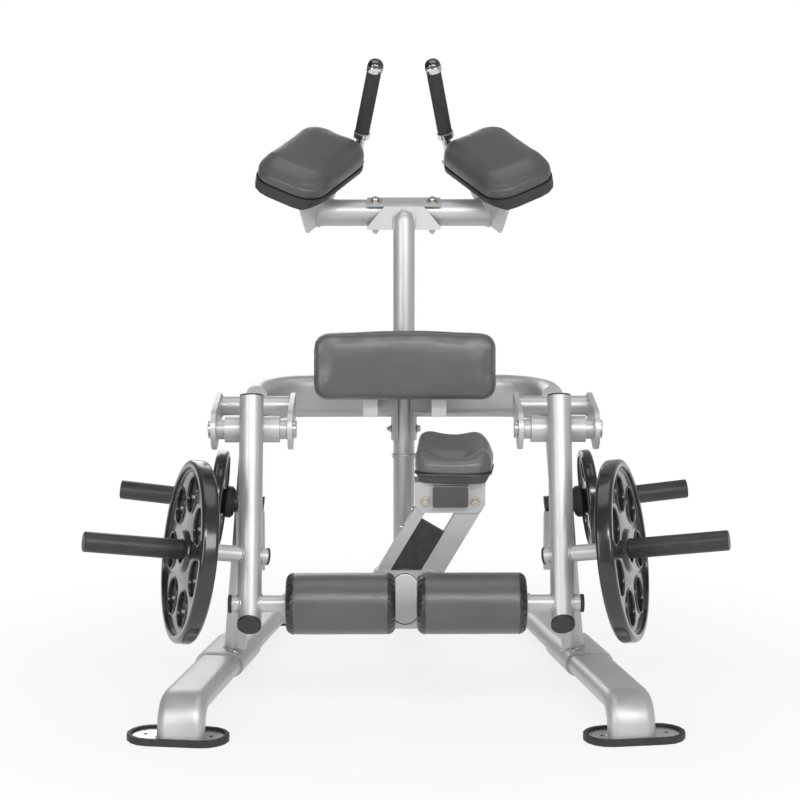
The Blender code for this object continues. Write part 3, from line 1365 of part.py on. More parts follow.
def make_link_base():
    """The clevis welded round the spine's front end, with the two lower link pins in it."""
    front_y, back_y = clevis_faces()
    middle_y = (front_y + back_y) / 2.0
    base = None
    for name, y in (("link_base", front_y - CLEVIS_PLATE / 2.0),
                    ("link_base_back", back_y + CLEVIS_PLATE / 2.0)):
        matrix = frame_of((0.0, y, 0.0), Vector((-1, 0, 0)), Vector((0, 0, 1)), Vector((0, 1, 0)))
        wall = plate(name, [clevis_outline()], CLEVIS_PLATE, matrix)
        base = join(base, wall) if base else wall
    depth = back_y - front_y + CLEVIS_PLATE
    floor_at = Matrix.Translation((0.0, middle_y, CLEVIS_BOTTOM_Z + CLEVIS_PLATE))
    join(base, block("link_base_floor", floor_at,
                     (CLEVIS_WIDTH - 2.5 * CLEVIS_CORNER, depth, CLEVIS_PLATE)))
    reach = Vector((0.0, depth / 2.0 + CLEVIS_PLATE / 2.0 + WELD_PROUD, 0.0))
    for side_name, side in SIDES:
        centre = link_pivot(side)
        centre.y = middle_y
        join(base, rod(side_name + "_link_pin", centre - reach, centre + reach, LINK_PIN_RADIUS,
                       steps=SMALL_STEPS))
    return base


def make_carrier():
    """The bracket on top of the links: two plates, a top plate, two pins and a tube stub."""
    front_y, back_y = clevis_faces()
    left = link_pivot(-1.0, True)
    right = link_pivot(1.0, True)
    centre = (left + right) / 2.0
    top = CARRIER_TOP_RISE
    bottom = top - CARRIER_HEIGHT
    half_width = CARRIER_WIDTH / 2.0
    chamfer = CARRIER_CHAMFER
    outline = [(-half_width + chamfer, bottom), (half_width - chamfer, bottom),
               (half_width, bottom + chamfer), (half_width, top), (-half_width, top),
               (-half_width, bottom + chamfer)]
    carrier = None
    for name, y in (("knee_carrier", front_y - CLEVIS_PLATE / 2.0),
                    ("knee_carrier_back", back_y + CLEVIS_PLATE / 2.0)):
        matrix = frame_of((centre.x, y, centre.z), Vector((1, 0, 0)), Vector((0, 0, 1)),
                          Vector((0, -1, 0)))
        wall = plate(name, [outline], CLEVIS_PLATE, matrix)
        carrier = join(carrier, wall) if carrier else wall
    depth = back_y - front_y + CLEVIS_PLATE
    middle_y = (front_y + back_y) / 2.0
    top_depth = depth + CLEVIS_PLATE + KNEE_BACK
    top_at = Matrix.Translation((centre.x, middle_y + KNEE_BACK / 2.0,
                                 centre.z + top + CLEVIS_PLATE / 2.0 - WELD_PROUD))
    join(carrier, block("knee_carrier_top", top_at,
                        (CARRIER_WIDTH + 2.0 * WELD_PROUD, top_depth + WELD_PROUD, CLEVIS_PLATE)))
    stub_at = Matrix.Translation((centre.x, front_y - (CLEVIS_PLATE + STUB_LENGTH) / 2.0,
                                  centre.z + top - STUB_HEIGHT / 2.0 - WELD_PROUD))
    join(carrier, block("knee_carrier_stub", stub_at, (STUB_WIDTH, STUB_LENGTH, STUB_HEIGHT)))
    reach = Vector((0.0, (depth + CLEVIS_PLATE) / 2.0 + WELD_PROUD, 0.0))
    for sign, pin_name in ((-1.0, "knee_pin_a"), (1.0, "knee_pin_b")):
        pin = link_pivot(sign, True)
        pin.y = middle_y
        join(carrier, rod(pin_name, pin - reach, pin + reach, LINK_PIN_RADIUS, steps=SMALL_STEPS))
    return carrier


def knee_frame():
    """X to the right, Y to the back, Z up; the origin is on the carrier's top plate."""
    front_y, back_y = clevis_faces()
    centre = (link_pivot(-1.0, True) + link_pivot(1.0, True)) / 2.0
    top = centre.z + CARRIER_TOP_RISE + CLEVIS_PLATE - WELD_PROUD + GAP
    place = Matrix.Translation((centre.x + KNEE_SHIFT, (front_y + back_y) / 2.0 + KNEE_BACK, top))
    return place @ Matrix.Rotation(math.radians(KNEE_TURN_DEG), 4, "Z")


def make_knee_pad():
    """A cushion on a shallow shell whose sides draw in towards the carrier."""
    frame = knee_frame()
    bm = bmesh.new()
    loops = []
    for level, inset in ((0.0, KNEE_SHELL_INSET + KNEE_SHELL_TAPER), (KNEE_SHELL, KNEE_SHELL_INSET)):
        outline = rounded_outline(KNEE_WIDTH - 2.0 * inset, KNEE_DEPTH - 2.0 * inset,
                                  KNEE_CORNER - inset)
        loops.append([bm.verts.new((x, y, level)) for x, y in outline])
    join_loops(bm, loops)
    bm.faces.new(list(reversed(loops[0])))
    bm.faces.new(loops[1])
    bmesh.ops.transform(bm, matrix=frame, verts=bm.verts)
    add_mesh("knee_shell", bm, "board")
    cushion_at = frame @ Matrix.Translation((0.0, 0.0, KNEE_SHELL + GAP))
    cushion("knee_cushion", KNEE_WIDTH, KNEE_DEPTH, KNEE_CORNER, KNEE_CUSHION, cushion_at,
            crown=0.10, dip=KNEE_DIP, rear_rise=KNEE_REAR_RISE, drawn_in=0.005)


for name_of_side, sign_of_side in SIDES:
    make_foot(name_of_side, sign_of_side)
    make_leg(name_of_side, sign_of_side)
    make_upright(name_of_side, sign_of_side)
    make_yoke(name_of_side, sign_of_side)
    make_pivot_pin(name_of_side, sign_of_side)
    make_arm(name_of_side, sign_of_side)
    make_peg(name_of_side, sign_of_side)
    make_large_plate(name_of_side, sign_of_side)
    make_store_peg(name_of_side, sign_of_side)
    make_axle(name_of_side, sign_of_side)
    make_bumper(name_of_side, sign_of_side)
    make_elbow_bracket(name_of_side, sign_of_side)
    make_elbow_pad(name_of_side, sign_of_side)
    make_handle(name_of_side, sign_of_side)
make_rear_base()
make_hoop()
make_spine()
make_post()
make_mast()
make_elbow_bar()
make_thigh_pad()
make_thigh_bracket()
make_link("link_a", -1.0, LINK_A_WIDTH)
make_link("link_b", 1.0, LINK_B_WIDTH)
make_link_block()
make_carrier()
make_knee_pad()
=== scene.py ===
import json
import math

import bmesh
import bpy
from mathutils import Matrix, Vector, noise
from mathutils.bvhtree import BVHTree


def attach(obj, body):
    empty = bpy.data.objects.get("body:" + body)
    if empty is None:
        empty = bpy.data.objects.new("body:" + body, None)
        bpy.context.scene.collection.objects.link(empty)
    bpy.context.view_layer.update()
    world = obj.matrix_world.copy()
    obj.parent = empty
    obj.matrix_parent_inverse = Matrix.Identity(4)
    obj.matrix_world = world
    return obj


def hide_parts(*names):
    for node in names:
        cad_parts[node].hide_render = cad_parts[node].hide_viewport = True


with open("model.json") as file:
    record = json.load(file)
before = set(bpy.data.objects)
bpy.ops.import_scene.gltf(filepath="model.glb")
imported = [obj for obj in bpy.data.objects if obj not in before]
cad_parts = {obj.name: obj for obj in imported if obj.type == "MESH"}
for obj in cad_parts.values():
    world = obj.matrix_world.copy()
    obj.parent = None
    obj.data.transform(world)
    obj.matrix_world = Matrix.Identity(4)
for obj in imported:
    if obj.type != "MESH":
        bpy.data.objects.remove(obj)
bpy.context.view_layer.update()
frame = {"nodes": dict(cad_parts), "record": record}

SIDES = (("left", -1.0), ("right", 1.0))

# Sizes of the machine in metres, most of them as its solids have them
GAP = 0.0003
ARM_X = 0.386
PIVOT_Y = -0.2865
PIVOT_Z = 0.735
BUSH_RADIUS = 0.0252
YOKE_INNER_WIDTH = 0.180
CROSS_RADIUS = 0.0255
CROSS_BACK = 0.150
CROSS_RISE = 0.040
ARM_RADIUS = 0.030
ARM_LEAN_DEG = 17.1
ARM_ABOVE_PIVOT = 0.076
ARM_OFFSET = 0.046
PEG_DOWN = 0.3215
PEG_TUBE_RADIUS = 0.0205
PEG_SLEEVE_RADIUS = 0.025
PEG_FORWARD_DEG = 17.3
PEG_RISE_DEG = 8.4
PEG_INNER_LENGTH = 0.042
PEG_STOP = 0.132
PLATE_HANG = 0.004
BORE_CLEARANCE = 0.0005
BORE_STEPS = 22
STORE_SEAT = (0.42005, -0.06038, 0.501)
STORE_RISE_DEG = 6.8
STORE_RADIUS = 0.025
STORE_INNER_LENGTH = 0.042
DONUT_END = 0.0595
AXLE_DOWN = 0.4415
AXLE_RADIUS = 0.0215
AXLE_OUTER_LENGTH = 0.044
ROLLER_RADIUS = 0.0765
ROLLER_LENGTH = 0.270
ROLLER_CENTRE_X = 0.1610
POST_Y = 0.0285
POST_RADIUS = 0.0285
POST_JOINT_Z = 0.621
BAR_Y = 0.0805
BAR_Z = 1.269
BAR_RADIUS = 0.036
HEAD_TILT_DEG = 25.0
UPRIGHT_RADIUS = 0.030
UPRIGHT_TOP = (0.396, -0.070, 0.769)
SPINE_FRONT = (0.0, -0.262, 0.290)
SPINE_REAR = (0.0, 0.640, 0.08637)
SPINE_CAP = (0.0700, 0.1280, 0.0350)
FOOT_AT = (0.551, -0.5355, 0.0118)
FOOT_TURN_DEG = 7.73
ELBOW_AT = (0.2530, 0.0395, 1.357)
ELBOW_TOE_DEG = 28.5
ELBOW_SLOPE_DEG = 20.2
ELBOW_ROLL_DEG = 22.5
ELBOW_BOARD = 0.031
HANDLE_OFFSET = 0.044
HANDLE_BACK = 0.0295
THIGH_AT = (0.0, -0.161, 0.880)
THIGH_LEAN_DEG = 4.0
THIGH_BOARD = 0.016
THIGH_BOW = 0.015
KNEE_SHIFT = 0.0135
KNEE_BACK = 0.036
KNEE_TURN_DEG = -6.0
KNEE_SHELL = 0.026
LINK_X = 0.0637
LINK_Y = -0.220
LINK_FOOT_Z = 0.344
LINK_LENGTH = 0.227
LINK_REST_DEG = 30.6
CLEVIS_FRONT_Y = -0.2466
CLEVIS_BACK_Y = -0.1934
CARRIER_RISE = 0.044
CARRIER_PLATE = 0.008

# Width, height, corner radius and thickness of the cushions
THIGH = (0.477, 0.181, 0.038, 0.055)
ELBOW = (0.199, 0.326, 0.062, 0.058)
KNEE = (0.200, 0.215, 0.050, 0.083)

# Radius, thickness, rim, web and hub of a plate; number, circle and radius of its grip holes
LARGE_PLATE = (0.225, 0.042, 0.020, 0.024, 0.055)
LARGE_GRIPS = (7, 0.143, 0.044)
SMALL_PLATE = (0.135, 0.032, 0.014, 0.018, 0.042)
SMALL_GRIPS = (3, 0.084, 0.028)

ARM_LEAN = math.radians(ARM_LEAN_DEG)
ARM_DOWN = Vector((0.0, -math.sin(ARM_LEAN), -math.cos(ARM_LEAN)))
ARM_FRONT = Vector((0.0, -math.cos(ARM_LEAN), math.sin(ARM_LEAN)))
LINK_LEAN = math.radians(LINK_REST_DEG)
LINK_UP = Vector((math.sin(LINK_LEAN), 0.0, math.cos(LINK_LEAN)))
LINK_ACROSS = Vector((math.cos(LINK_LEAN), 0.0, -math.sin(LINK_LEAN)))
LINK_TOP = Vector((0.0, LINK_Y, LINK_FOOT_Z)) + LINK_UP * LINK_LENGTH
TURN_OVER = Matrix.Rotation(math.pi, 4, "X")


# Mesh helpers

def clamp(value):
    return min(1.0, max(0.0, value))


def bell(value, centre, spread):
    return math.exp(-((value - centre) / spread) ** 2)


def lift(height):
    return Matrix.Translation((0.0, 0.0, height))


def frame_of(origin, x_dir, y_dir, z_dir):
    matrix = Matrix((x_dir, y_dir, z_dir)).transposed().to_4x4()
    matrix.translation = Vector(origin)
    return matrix


def frame_at(origin, z_axis):
    """A matrix at an origin whose Z points along z_axis and whose X is near the world's."""
    z_dir = Vector(z_axis).normalized()
    hint = Vector((1.0, 0.0, 0.0))
    if abs(z_dir.dot(hint)) > 0.99:
        hint = Vector((0.0, 1.0, 0.0))
    y_dir = z_dir.cross(hint).normalized()
    return frame_of(origin, y_dir.cross(z_dir), y_dir, z_dir)


def added(name, data):
    """A new object in the scene."""
    obj = bpy.data.objects.new(name, data)
    bpy.context.scene.collection.objects.link(obj)
    return obj


def mesh_of(name, bm):
    mesh = bpy.data.meshes.new(name)
    bm.to_mesh(mesh)
    bm.free()
    return mesh


def place(name, bm, material, body, sharp_deg=38.0, matrix=None):
    """Make a piece of a bmesh, give it a material and let it ride on a CAD body."""
    if matrix is not None:
        bmesh.ops.transform(bm, matrix=matrix, verts=bm.verts)
    bmesh.ops.recalc_face_normals(bm, faces=bm.faces)
    mesh = mesh_of(name, bm)
    mesh.shade_smooth()
    mesh.set_sharp_from_angle(angle=math.radians(sharp_deg))
    obj = added(name, mesh)
    mesh.materials.append(material)
    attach(obj, body)
    return obj


def points_into(bm, spots):
    return [bm.verts.new(spot) for spot in spots]


def bridge(bm, loops, closed=False):
    """Faces between each loop of points and the next. A loop of one point is a tip."""
    count = max(len(loop) for loop in loops)
    for lower, upper in zip(loops, loops[1:] + loops[:closed]):
        for step in range(count):
            after = step + 1
            corners = [lower[step % len(lower)], lower[after % len(lower)],
                       upper[after % len(upper)], upper[step % len(upper)]]
            unique = list(dict.fromkeys(corners))
            if len(unique) > 2:
                bm.faces.new(unique)


def close_ends(bm, loops):
    bm.faces.new(list(reversed(loops[0])))
    bm.faces.new(loops[-1])


def arc(middle, radius, start, end, steps, tall=None):
    """Points (x, y) on an arc between two angles in degrees; tall is its radius along y."""
    tall = radius if tall is None else tall
    points = []
    for step in range(steps + 1):
        angle = math.radians(start + (end - start) * step / steps)
        points.append((middle[0] + radius * math.cos(angle), middle[1] + tall * math.sin(angle)))
    return points


def angles(steps):
    """The angles of even steps round a circle."""
    return [2.0 * math.pi * step / steps for step in range(steps)]


def wheel(radius, steps, height=0.0):
    """Vectors round a circle at a height."""
    return [Vector((radius * math.cos(angle), radius * math.sin(angle), height))
            for angle in angles(steps)]


def circle(centre, normal, radius, steps=48):
    matrix = frame_at(centre, normal)
    return [matrix @ spot for spot in wheel(radius, steps)]


def spin_into(bm, profile, matrix, steps):
    """Add a turned solid: (radius, height) points spun round the matrix's Z."""
    rings = []
    for radius, height in profile:
        spots = wheel(radius, 1 if radius < 1e-6 else steps, height)
        rings.append(points_into(bm, [matrix @ spot for spot in spots]))
    bridge(bm, rings, len(rings[0]) > 1 and len(rings[-1]) > 1)


def turned(name, profile, matrix, material, body):
    bm = bmesh.new()
    spin_into(bm, profile, matrix, 48)
    return place(name, bm, material, body)


def tube_into(bm, path, radii, closed, sides):
    """Add a round bead along a path, with a radius for each point."""
    count = len(path)
    rings = []
    normal = None
    for index, point in enumerate(path):
        before = path[index - 1] if closed or index else path[index]
        after = path[(index + 1) % count] if closed or index < count - 1 else path[index]
        tangent = (after - before).normalized()
        if normal is None:
            normal = tangent.orthogonal().normalized()
        normal = (normal - tangent * normal.dot(tangent)).normalized()
        binormal = tangent.cross(normal)
        rings.append(points_into(bm, [
            point + (normal * math.cos(angle) + binormal * math.sin(angle)) * radii[index]
            for angle in angles(sides)]))
    if closed:
        first = rings[0]
        gaps = [(rings[-1][0].co - point.co).length for point in first]
        shift = gaps.index(min(gaps))
        rings.append(first[shift:] + first[:shift])
    bridge(bm, rings)
    if not closed:
        close_ends(bm, rings)


def path_length(path, closed=True):
    return sum((b - a).length for a, b in zip(path, path[1:] + path[:closed]))


def resample(path, count, closed=True):
    """Points at even distances along a path."""
    loop = path + path[:closed]
    lengths = [0.0]
    for first, second in zip(loop, loop[1:]):
        lengths.append(lengths[-1] + (second - first).length)
    points = []
    piece = 0
    for index in range(count):
        at = lengths[-1] * index / count
        while lengths[piece + 1] < at:
            piece += 1
        span = lengths[piece + 1] - lengths[piece]
        points.append(loop[piece].lerp(loop[piece + 1], (at - lengths[piece]) / max(span, 1e-9)))
    return points


def weld(bm, path, radius, closed=True):
    """Add a weld bead along a path, with the small even waves of a weld pool."""
    ripple = 0.0035
    length = path_length(path, closed)
    count = max(24, int(length / ripple * 3.0))
    dense = resample(path, count, closed)
    waves = max(4, round(length / ripple))
    radii = []
    for index, point in enumerate(dense):
        wave = 0.5 + 0.5 * math.cos(2.0 * math.pi * waves * index / count)
        drift = noise.noise(point * 90.0)
        radii.append(radius * (0.84 + 0.22 * wave + 0.12 * drift))
    tube_into(bm, dense, radii, closed, 7)


def cope(origin, direction, radius, axis_point, axis, big_radius):
    """The closed line where a round tube leaves a thicker round tube."""
    direction = direction.normalized()
    axis = axis.normalized()
    points = []
    for start in circle(origin, direction, radius):
        offset = start - axis_point
        across = direction - axis * direction.dot(axis)
        away = offset - axis * offset.dot(axis)
        a = across.dot(across)
        b = 2.0 * across.dot(away)
        c = away.dot(away) - big_radius ** 2
        root = math.sqrt(max(0.0, b * b - 4.0 * a * c))
        points.append(start + direction * ((-b + root) / (2.0 * a)))
    return points


def outline_points(width, height, corner, steps):
    """A rectangle with round corners, as (x, y) points."""
    points = []
    half_x = width / 2.0 - corner
    half_y = height / 2.0 - corner
    for sign_x, sign_y, start in ((1, 1, 0.0), (-1, 1, 90.0), (-1, -1, 180.0), (1, -1, 270.0)):
        points += arc((sign_x * half_x, sign_y * half_y), corner, start, start + 90.0, steps)
    kept = []
    for point in points:
        if not kept or math.dist(point, kept[-1]) > 1e-6:
            kept.append(point)
    if math.dist(kept[0], kept[-1]) < 1e-6:
        kept.pop()
    return kept


def inset_outline(size, inset, steps=12):
    """The outline of a cushion, drawn in by an inset."""
    width, height, corner = size[:3]
    return outline_points(width - 2.0 * inset, height - 2.0 * inset, corner - inset, steps)


def split_long(outline, longest):
    """The outline with points added along its straight edges."""
    points = []
    for start, end in zip(outline, outline[1:] + outline[:1]):
        count = max(1, round(math.dist(start, end) / longest))
        for step in range(count):
            share = step / count
            points.append((start[0] + (end[0] - start[0]) * share,
                           start[1] + (end[1] - start[1]) * share))
    return points


# Node trees and materials

class Tree:
    """A small helper that adds and links nodes."""

    def __init__(self, tree):
        self.tree = tree

    def feed(self, socket, value):
        """Link an output to a socket, or give the socket a value."""
        if isinstance(value, bpy.types.NodeSocket):
            self.tree.links.new(value, socket)
        elif socket.type == "RGBA":
            socket.default_value = (*value, 1.0)
        else:
            socket.default_value = value

    def add(self, kind, inputs=None, **attributes):
        node = self.tree.nodes.new(kind)
        for key, value in attributes.items():
            setattr(node, key, value)
        for key, value in (inputs or {}).items():
            self.feed(node.inputs[key], value)
        return node

    def ramp(self, value, *colours):
        """Colours along a value, two pairs of a position and a colour."""
        node = self.add("ShaderNodeValToRGB", {"Fac": value})
        for element, (position, colour) in zip(node.color_ramp.elements, colours):
            element.position = position
            element.color = (*colour, 1.0)
        return node.outputs["Color"]

    def mix(self, factor, first, second, blend="MIX"):
        return self.add("ShaderNodeMix", {0: factor, 6: first, 7: second}, data_type="RGBA",
                        blend_type=blend).outputs[2]


class Nodes(Tree):
    """The nodes of one material."""

    def __init__(self, name):
        self.material = bpy.data.materials.new(name)
        self.material.use_nodes = True
        super().__init__(self.material.node_tree)
        self.shader = self.tree.nodes["Principled BSDF"]
        self.point = self.add("ShaderNodeTexCoord").outputs["Object"]

    def noise(self, scale, detail=3.0, rough=0.55, stretch=None):
        point = self.point
        if stretch is not None:
            point = self.add("ShaderNodeMapping", {"Vector": point, "Scale": stretch}).outputs[0]
        return self.add("ShaderNodeTexNoise", {"Scale": scale, "Detail": detail,
                                               "Roughness": rough, "Vector": point}).outputs["Fac"]

    def cells(self, scale, feature):
        return self.add("ShaderNodeTexVoronoi", {"Scale": scale, "Vector": self.point},
                        feature=feature).outputs["Distance"]

    def span(self, value, low, high, from_low=0.3, from_high=0.7):
        return self.add("ShaderNodeMapRange", {
            "Value": value, "From Min": from_low, "From Max": from_high, "To Min": low,
            "To Max": high}).outputs["Result"]

    def bump(self, *layers):
        """Stack bump layers, each (height output, strength, distance in metres)."""
        normal = None
        for height, strength, distance in layers:
            inputs = {"Strength": strength, "Distance": distance, "Height": height}
            if normal is not None:
                inputs["Normal"] = normal
            normal = self.add("ShaderNodeBump", inputs).outputs["Normal"]
        self.set(Normal=normal)

    def set(self, **values):
        for key, value in values.items():
            self.feed(self.shader.inputs[key.replace("_", " ")], value)
        return self.material


def grained(name, tints, shine, *layers, **values):
    """A material made of noises.

    tints is (scale, low colour, high colour). shine is (noise, low, high roughness), and each
    bump layer (noise, strength, distance), where a noise is what Nodes.noise takes.
    """
    n = Nodes(name)
    scale, low, high = tints
    n.set(Base_Color=n.ramp(n.noise(scale), (0.3, low), (0.7, high)))
    grain, low, high = shine
    n.set(Roughness=n.span(n.noise(*grain), low, high))
    n.bump(*((n.noise(*grain), strength, distance) for grain, strength, distance in layers))
    return n.set(**values)


def silver_paint():
    """Light silver metallic powder coat: fine flakes, a faint orange peel, soft gloss."""
    n = Nodes("silver_paint")
    flakes = n.cells(1500.0, "F1")
    base = n.ramp(n.noise(7.0), (0.35, (0.52, 0.528, 0.532)), (0.65, (0.56, 0.564, 0.564)))
    glint = n.span(flakes, 0.0, 0.25, 0.1, 0.6)
    n.bump((n.noise(420.0, 2.0), 0.06, 0.0004), (flakes, 0.03, 0.0002))
    return n.set(Base_Color=n.mix(glint, base, (0.44, 0.45, 0.46)),
                 Roughness=n.span(n.noise(28.0, 5.0), 0.39, 0.47),
                 Metallic=0.56, Coat_Weight=0.08, Coat_Roughness=0.22)


def chrome(name, low, high):
    return grained(name, (30.0, low, high), ((220.0, 4.0), 0.05, 0.13),
                   ((60.0, 2.0), 0.03, 0.0005), Metallic=1.0)


def black_satin():
    """Satin black sleeve with the faint rub marks that plates leave along it."""
    n = Nodes("black_satin")
    rubs = n.noise(60.0, 6.0, 0.7, (0.25, 1.0, 1.0))
    n.bump((n.noise(600.0, 3.0), 0.10, 0.0003))
    colour = n.ramp(rubs, (0.40, (0.018, 0.018, 0.018)), (0.75, (0.044, 0.043, 0.042)))
    return n.set(Base_Color=colour, Roughness=n.span(rubs, 0.36, 0.50))


def vinyl(name, low, high):
    """Upholstery vinyl: a pebbled grain with painted shade in its hollows, fine creases and soft
    gloss.
    """
    n = Nodes(name)
    grain = n.cells(620.0, "DISTANCE_TO_EDGE")
    base = n.ramp(n.noise(9.0, 4.0), (0.35, low), (0.65, high))
    # Painted shade: the base colour darkens towards the edges of the grain's cells, the hollows
    # between its pebbles.
    hollow_shade = n.span(grain, 0.55, 0.0, 0.0, 0.16)
    n.bump((grain, 0.22, 0.0005), (n.noise(130.0, 4.0), 0.10, 0.0008))
    return n.set(Base_Color=n.mix(hollow_shade, base, tuple(0.6 * share for share in low)),
                 Roughness=n.span(n.noise(45.0, 5.0), 0.29, 0.38),
                 Specular_IOR_Level=0.60, Sheen_Weight=0.06, Sheen_Roughness=0.4)


def moulded_board(name, low, high):
    """Dark moulded shell with a fine stipple."""
    n = Nodes(name)
    n.bump((n.cells(1100.0, "F1"), 0.16, 0.0003), (n.noise(300.0), 0.06, 0.0004))
    return n.set(Base_Color=n.ramp(n.noise(26.0), (0.3, low), (0.7, high)),
                 Roughness=n.span(n.noise(180.0, 4.0), 0.42, 0.56))


PAINT = silver_paint()

# The same coat over weld metal, a little darker and rougher in the hollows
WELD = grained("weld_paint", (300.0, (0.44, 0.445, 0.45), (0.62, 0.625, 0.63)),
               ((160.0, 5.0), 0.26, 0.42), ((700.0, 3.0), 0.25, 0.0004), Metallic=0.85)

# Brushed plated steel with fine turning lines and a faint warm tint
TURNING = (1.0, 0.1, 1.0)
ZINC = grained("zinc_steel", (40.0, (0.50, 0.49, 0.47), (0.62, 0.61, 0.59)),
               ((900.0, 4.0, 0.55, TURNING), 0.22, 0.38),
               ((1400.0, 2.0, 0.55, TURNING), 0.08, 0.0002), Metallic=0.95)

# Yellowish zinc on the screws, with darker hollows
BOLT = grained("bolt_zinc", (260.0, (0.40, 0.37, 0.33), (0.68, 0.64, 0.58)),
               ((500.0,), 0.24, 0.40), ((900.0,), 0.12, 0.0002), Metallic=0.95)
CHROME = chrome("bright_chrome", (0.60, 0.605, 0.61), (0.70, 0.70, 0.70))
# A dark copy of the chrome for the handles' domed caps: a painted dark reflection.
SHADED_CHROME = chrome("shaded_chrome", (0.10, 0.10, 0.105), (0.15, 0.15, 0.15))
RUBBER = grained("matt_rubber", (60.0, (0.016, 0.016, 0.017), (0.032, 0.032, 0.033)),
                 ((220.0, 4.0), 0.48, 0.66), ((900.0, 3.0), 0.25, 0.0004))

# Deep black enamel with a faint orange peel and rub marks
GLOSS = grained("gloss_enamel", (22.0, (0.009, 0.009, 0.010), (0.016, 0.016, 0.017)),
                ((35.0, 6.0, 0.7, (1.0, 1.0, 0.35)), 0.13, 0.27),
                ((170.0, 2.0), 0.12, 0.0006), ((900.0, 2.0), 0.04, 0.0002),
                Specular_IOR_Level=0.6, Coat_Weight=0.35, Coat_Roughness=0.08)
SATIN = black_satin()
VINYL = vinyl("grey_vinyl", (0.088, 0.088, 0.091), (0.101, 0.101, 0.103))
# A darker copy of the grey vinyl for the elbow pads: painted shade on their up-facing tops.
SHADED_ELBOW_VINYL = vinyl("shaded_elbow_vinyl", (0.068, 0.068, 0.071), (0.080, 0.080, 0.082))
# A lighter copy of the grey vinyl for the knee pad: painted light where its top catches grazing
# light.
LIT_KNEE_VINYL = vinyl("lit_knee_vinyl", (0.126, 0.126, 0.130), (0.146, 0.146, 0.149))
# A near-black copy of the grey vinyl for the gathered ends of the rollers' covers: painted shade
# in their folds.
SHADED_END_VINYL = vinyl("shaded_end_vinyl", (0.020, 0.020, 0.021), (0.028, 0.028, 0.029))
THREAD = grained("thread", (900.0, (0.05, 0.05, 0.052), (0.12, 0.12, 0.123)),
                 ((600.0,), 0.6, 0.8), ((2500.0,), 0.3, 0.0002))
BOARD = moulded_board("moulded_board", (0.062, 0.057, 0.057), (0.080, 0.075, 0.075))
# A darker copy of the moulded board for the elbow boards: painted shade under their pads.
SHADED_BOARD = moulded_board("shaded_board", (0.026, 0.024, 0.024), (0.036, 0.034, 0.034))

# Black grip rubber; the crossed ribs are in its mesh
GRIP = grained("grip_rubber", (120.0, (0.020, 0.019, 0.019), (0.036, 0.035, 0.035)),
               ((300.0, 4.0), 0.50, 0.68), ((1300.0, 3.0), 0.2, 0.0003))

SLOT_MATERIAL = {
    "frame_paint": PAINT, "zinc_steel": ZINC, "chrome": CHROME, "rubber": RUBBER,
    "gloss_black": GLOSS, "black_satin": SATIN, "vinyl": VINYL, "moulded_board": BOARD,
}


# The CAD nodes: shading by edge angle and their materials

def edge_shading(angle_deg):
    """Geometry nodes that shade a mesh smooth, apart from edges over an angle."""
    group = bpy.data.node_groups.new("edge_shading", "GeometryNodeTree")
    group.interface.new_socket("Geometry", in_out="INPUT", socket_type="NodeSocketGeometry")
    group.interface.new_socket("Geometry", in_out="OUTPUT", socket_type="NodeSocketGeometry")
    n = Tree(group)
    mesh = n.add("NodeGroupInput").outputs[0]
    for kind, key, value in (("GeometryNodeRemoveAttribute", "Name", "custom_normal"),
                             ("GeometryNodeMergeByDistance", "Distance", 0.00002),
                             ("GeometryNodeSetShadeSmooth", "Shade Smooth", True)):
        mesh = n.add(kind, {"Geometry": mesh, key: value}).outputs["Geometry"]
    angle = n.add("GeometryNodeInputMeshEdgeAngle").outputs["Unsigned Angle"]
    below = n.add("FunctionNodeCompare", {0: angle, 1: math.radians(angle_deg)},
                  operation="LESS_THAN").outputs["Result"]
    edges = n.add("GeometryNodeSetShadeSmooth", {"Geometry": mesh, "Shade Smooth": below},
                  domain="EDGE")
    n.add("NodeGroupOutput", {0: edges.outputs["Geometry"]})
    return group


EDGE_SHADING = edge_shading(38.0)
for row in frame["record"]["subparts"]:
    node = frame["nodes"][row["node"]]
    node.data.materials.clear()
    # The elbow boards take the darker board copy, painted shade.
    shaded = row["node"].endswith("_elbow_board")
    node.data.materials.append(SHADED_BOARD if shaded else SLOT_MATERIAL[row["material_slot"]])
    node.modifiers.new("edge_shading", "NODES").node_group = EDGE_SHADING


# Where the parts are

def arm_point(side, down):
    pivot = Vector((side * ARM_X, PIVOT_Y, PIVOT_Z))
    return pivot + ARM_FRONT * ARM_OFFSET + ARM_DOWN * down


def peg_direction(side):
    forward = math.radians(PEG_FORWARD_DEG)
    rise = math.radians(PEG_RISE_DEG)
    return Vector((side * math.cos(forward) * math.cos(rise), -math.sin(forward) * math.cos(rise),
                   math.sin(rise)))


def mirrored(spot, side):
    return Vector((side * spot[0], spot[1], spot[2]))


def store_axis(side):
    """Where the storage peg stands on the upright, and the peg's direction."""
    rise = math.radians(STORE_RISE_DEG)
    return mirrored(STORE_SEAT, side), Vector((side * math.cos(rise), 0.0, math.sin(rise)))


def elbow_frame(side):
    """The elbow pad's frame: X across its width, Y along its length, Z out of its face."""
    toe = math.radians(ELBOW_TOE_DEG)
    slope = math.radians(ELBOW_SLOPE_DEG)
    along = Vector((-side * math.sin(toe) * math.cos(slope), math.cos(toe) * math.cos(slope),
                    math.sin(slope)))
    level = along.cross(Vector((0.0, 0.0, 1.0))).normalized()
    across = Matrix.Rotation(-side * math.radians(ELBOW_ROLL_DEG), 3, along) @ level
    return frame_of(mirrored(ELBOW_AT, side), across, along, across.cross(along))


def plate_frame(centre, direction, side):
    """A frame whose Z is the peg and whose Y points up."""
    level = Vector((0.0, side, 0.0))
    up = direction.cross(level).normalized()
    return frame_of(centre, up.cross(direction).normalized(), up, direction)


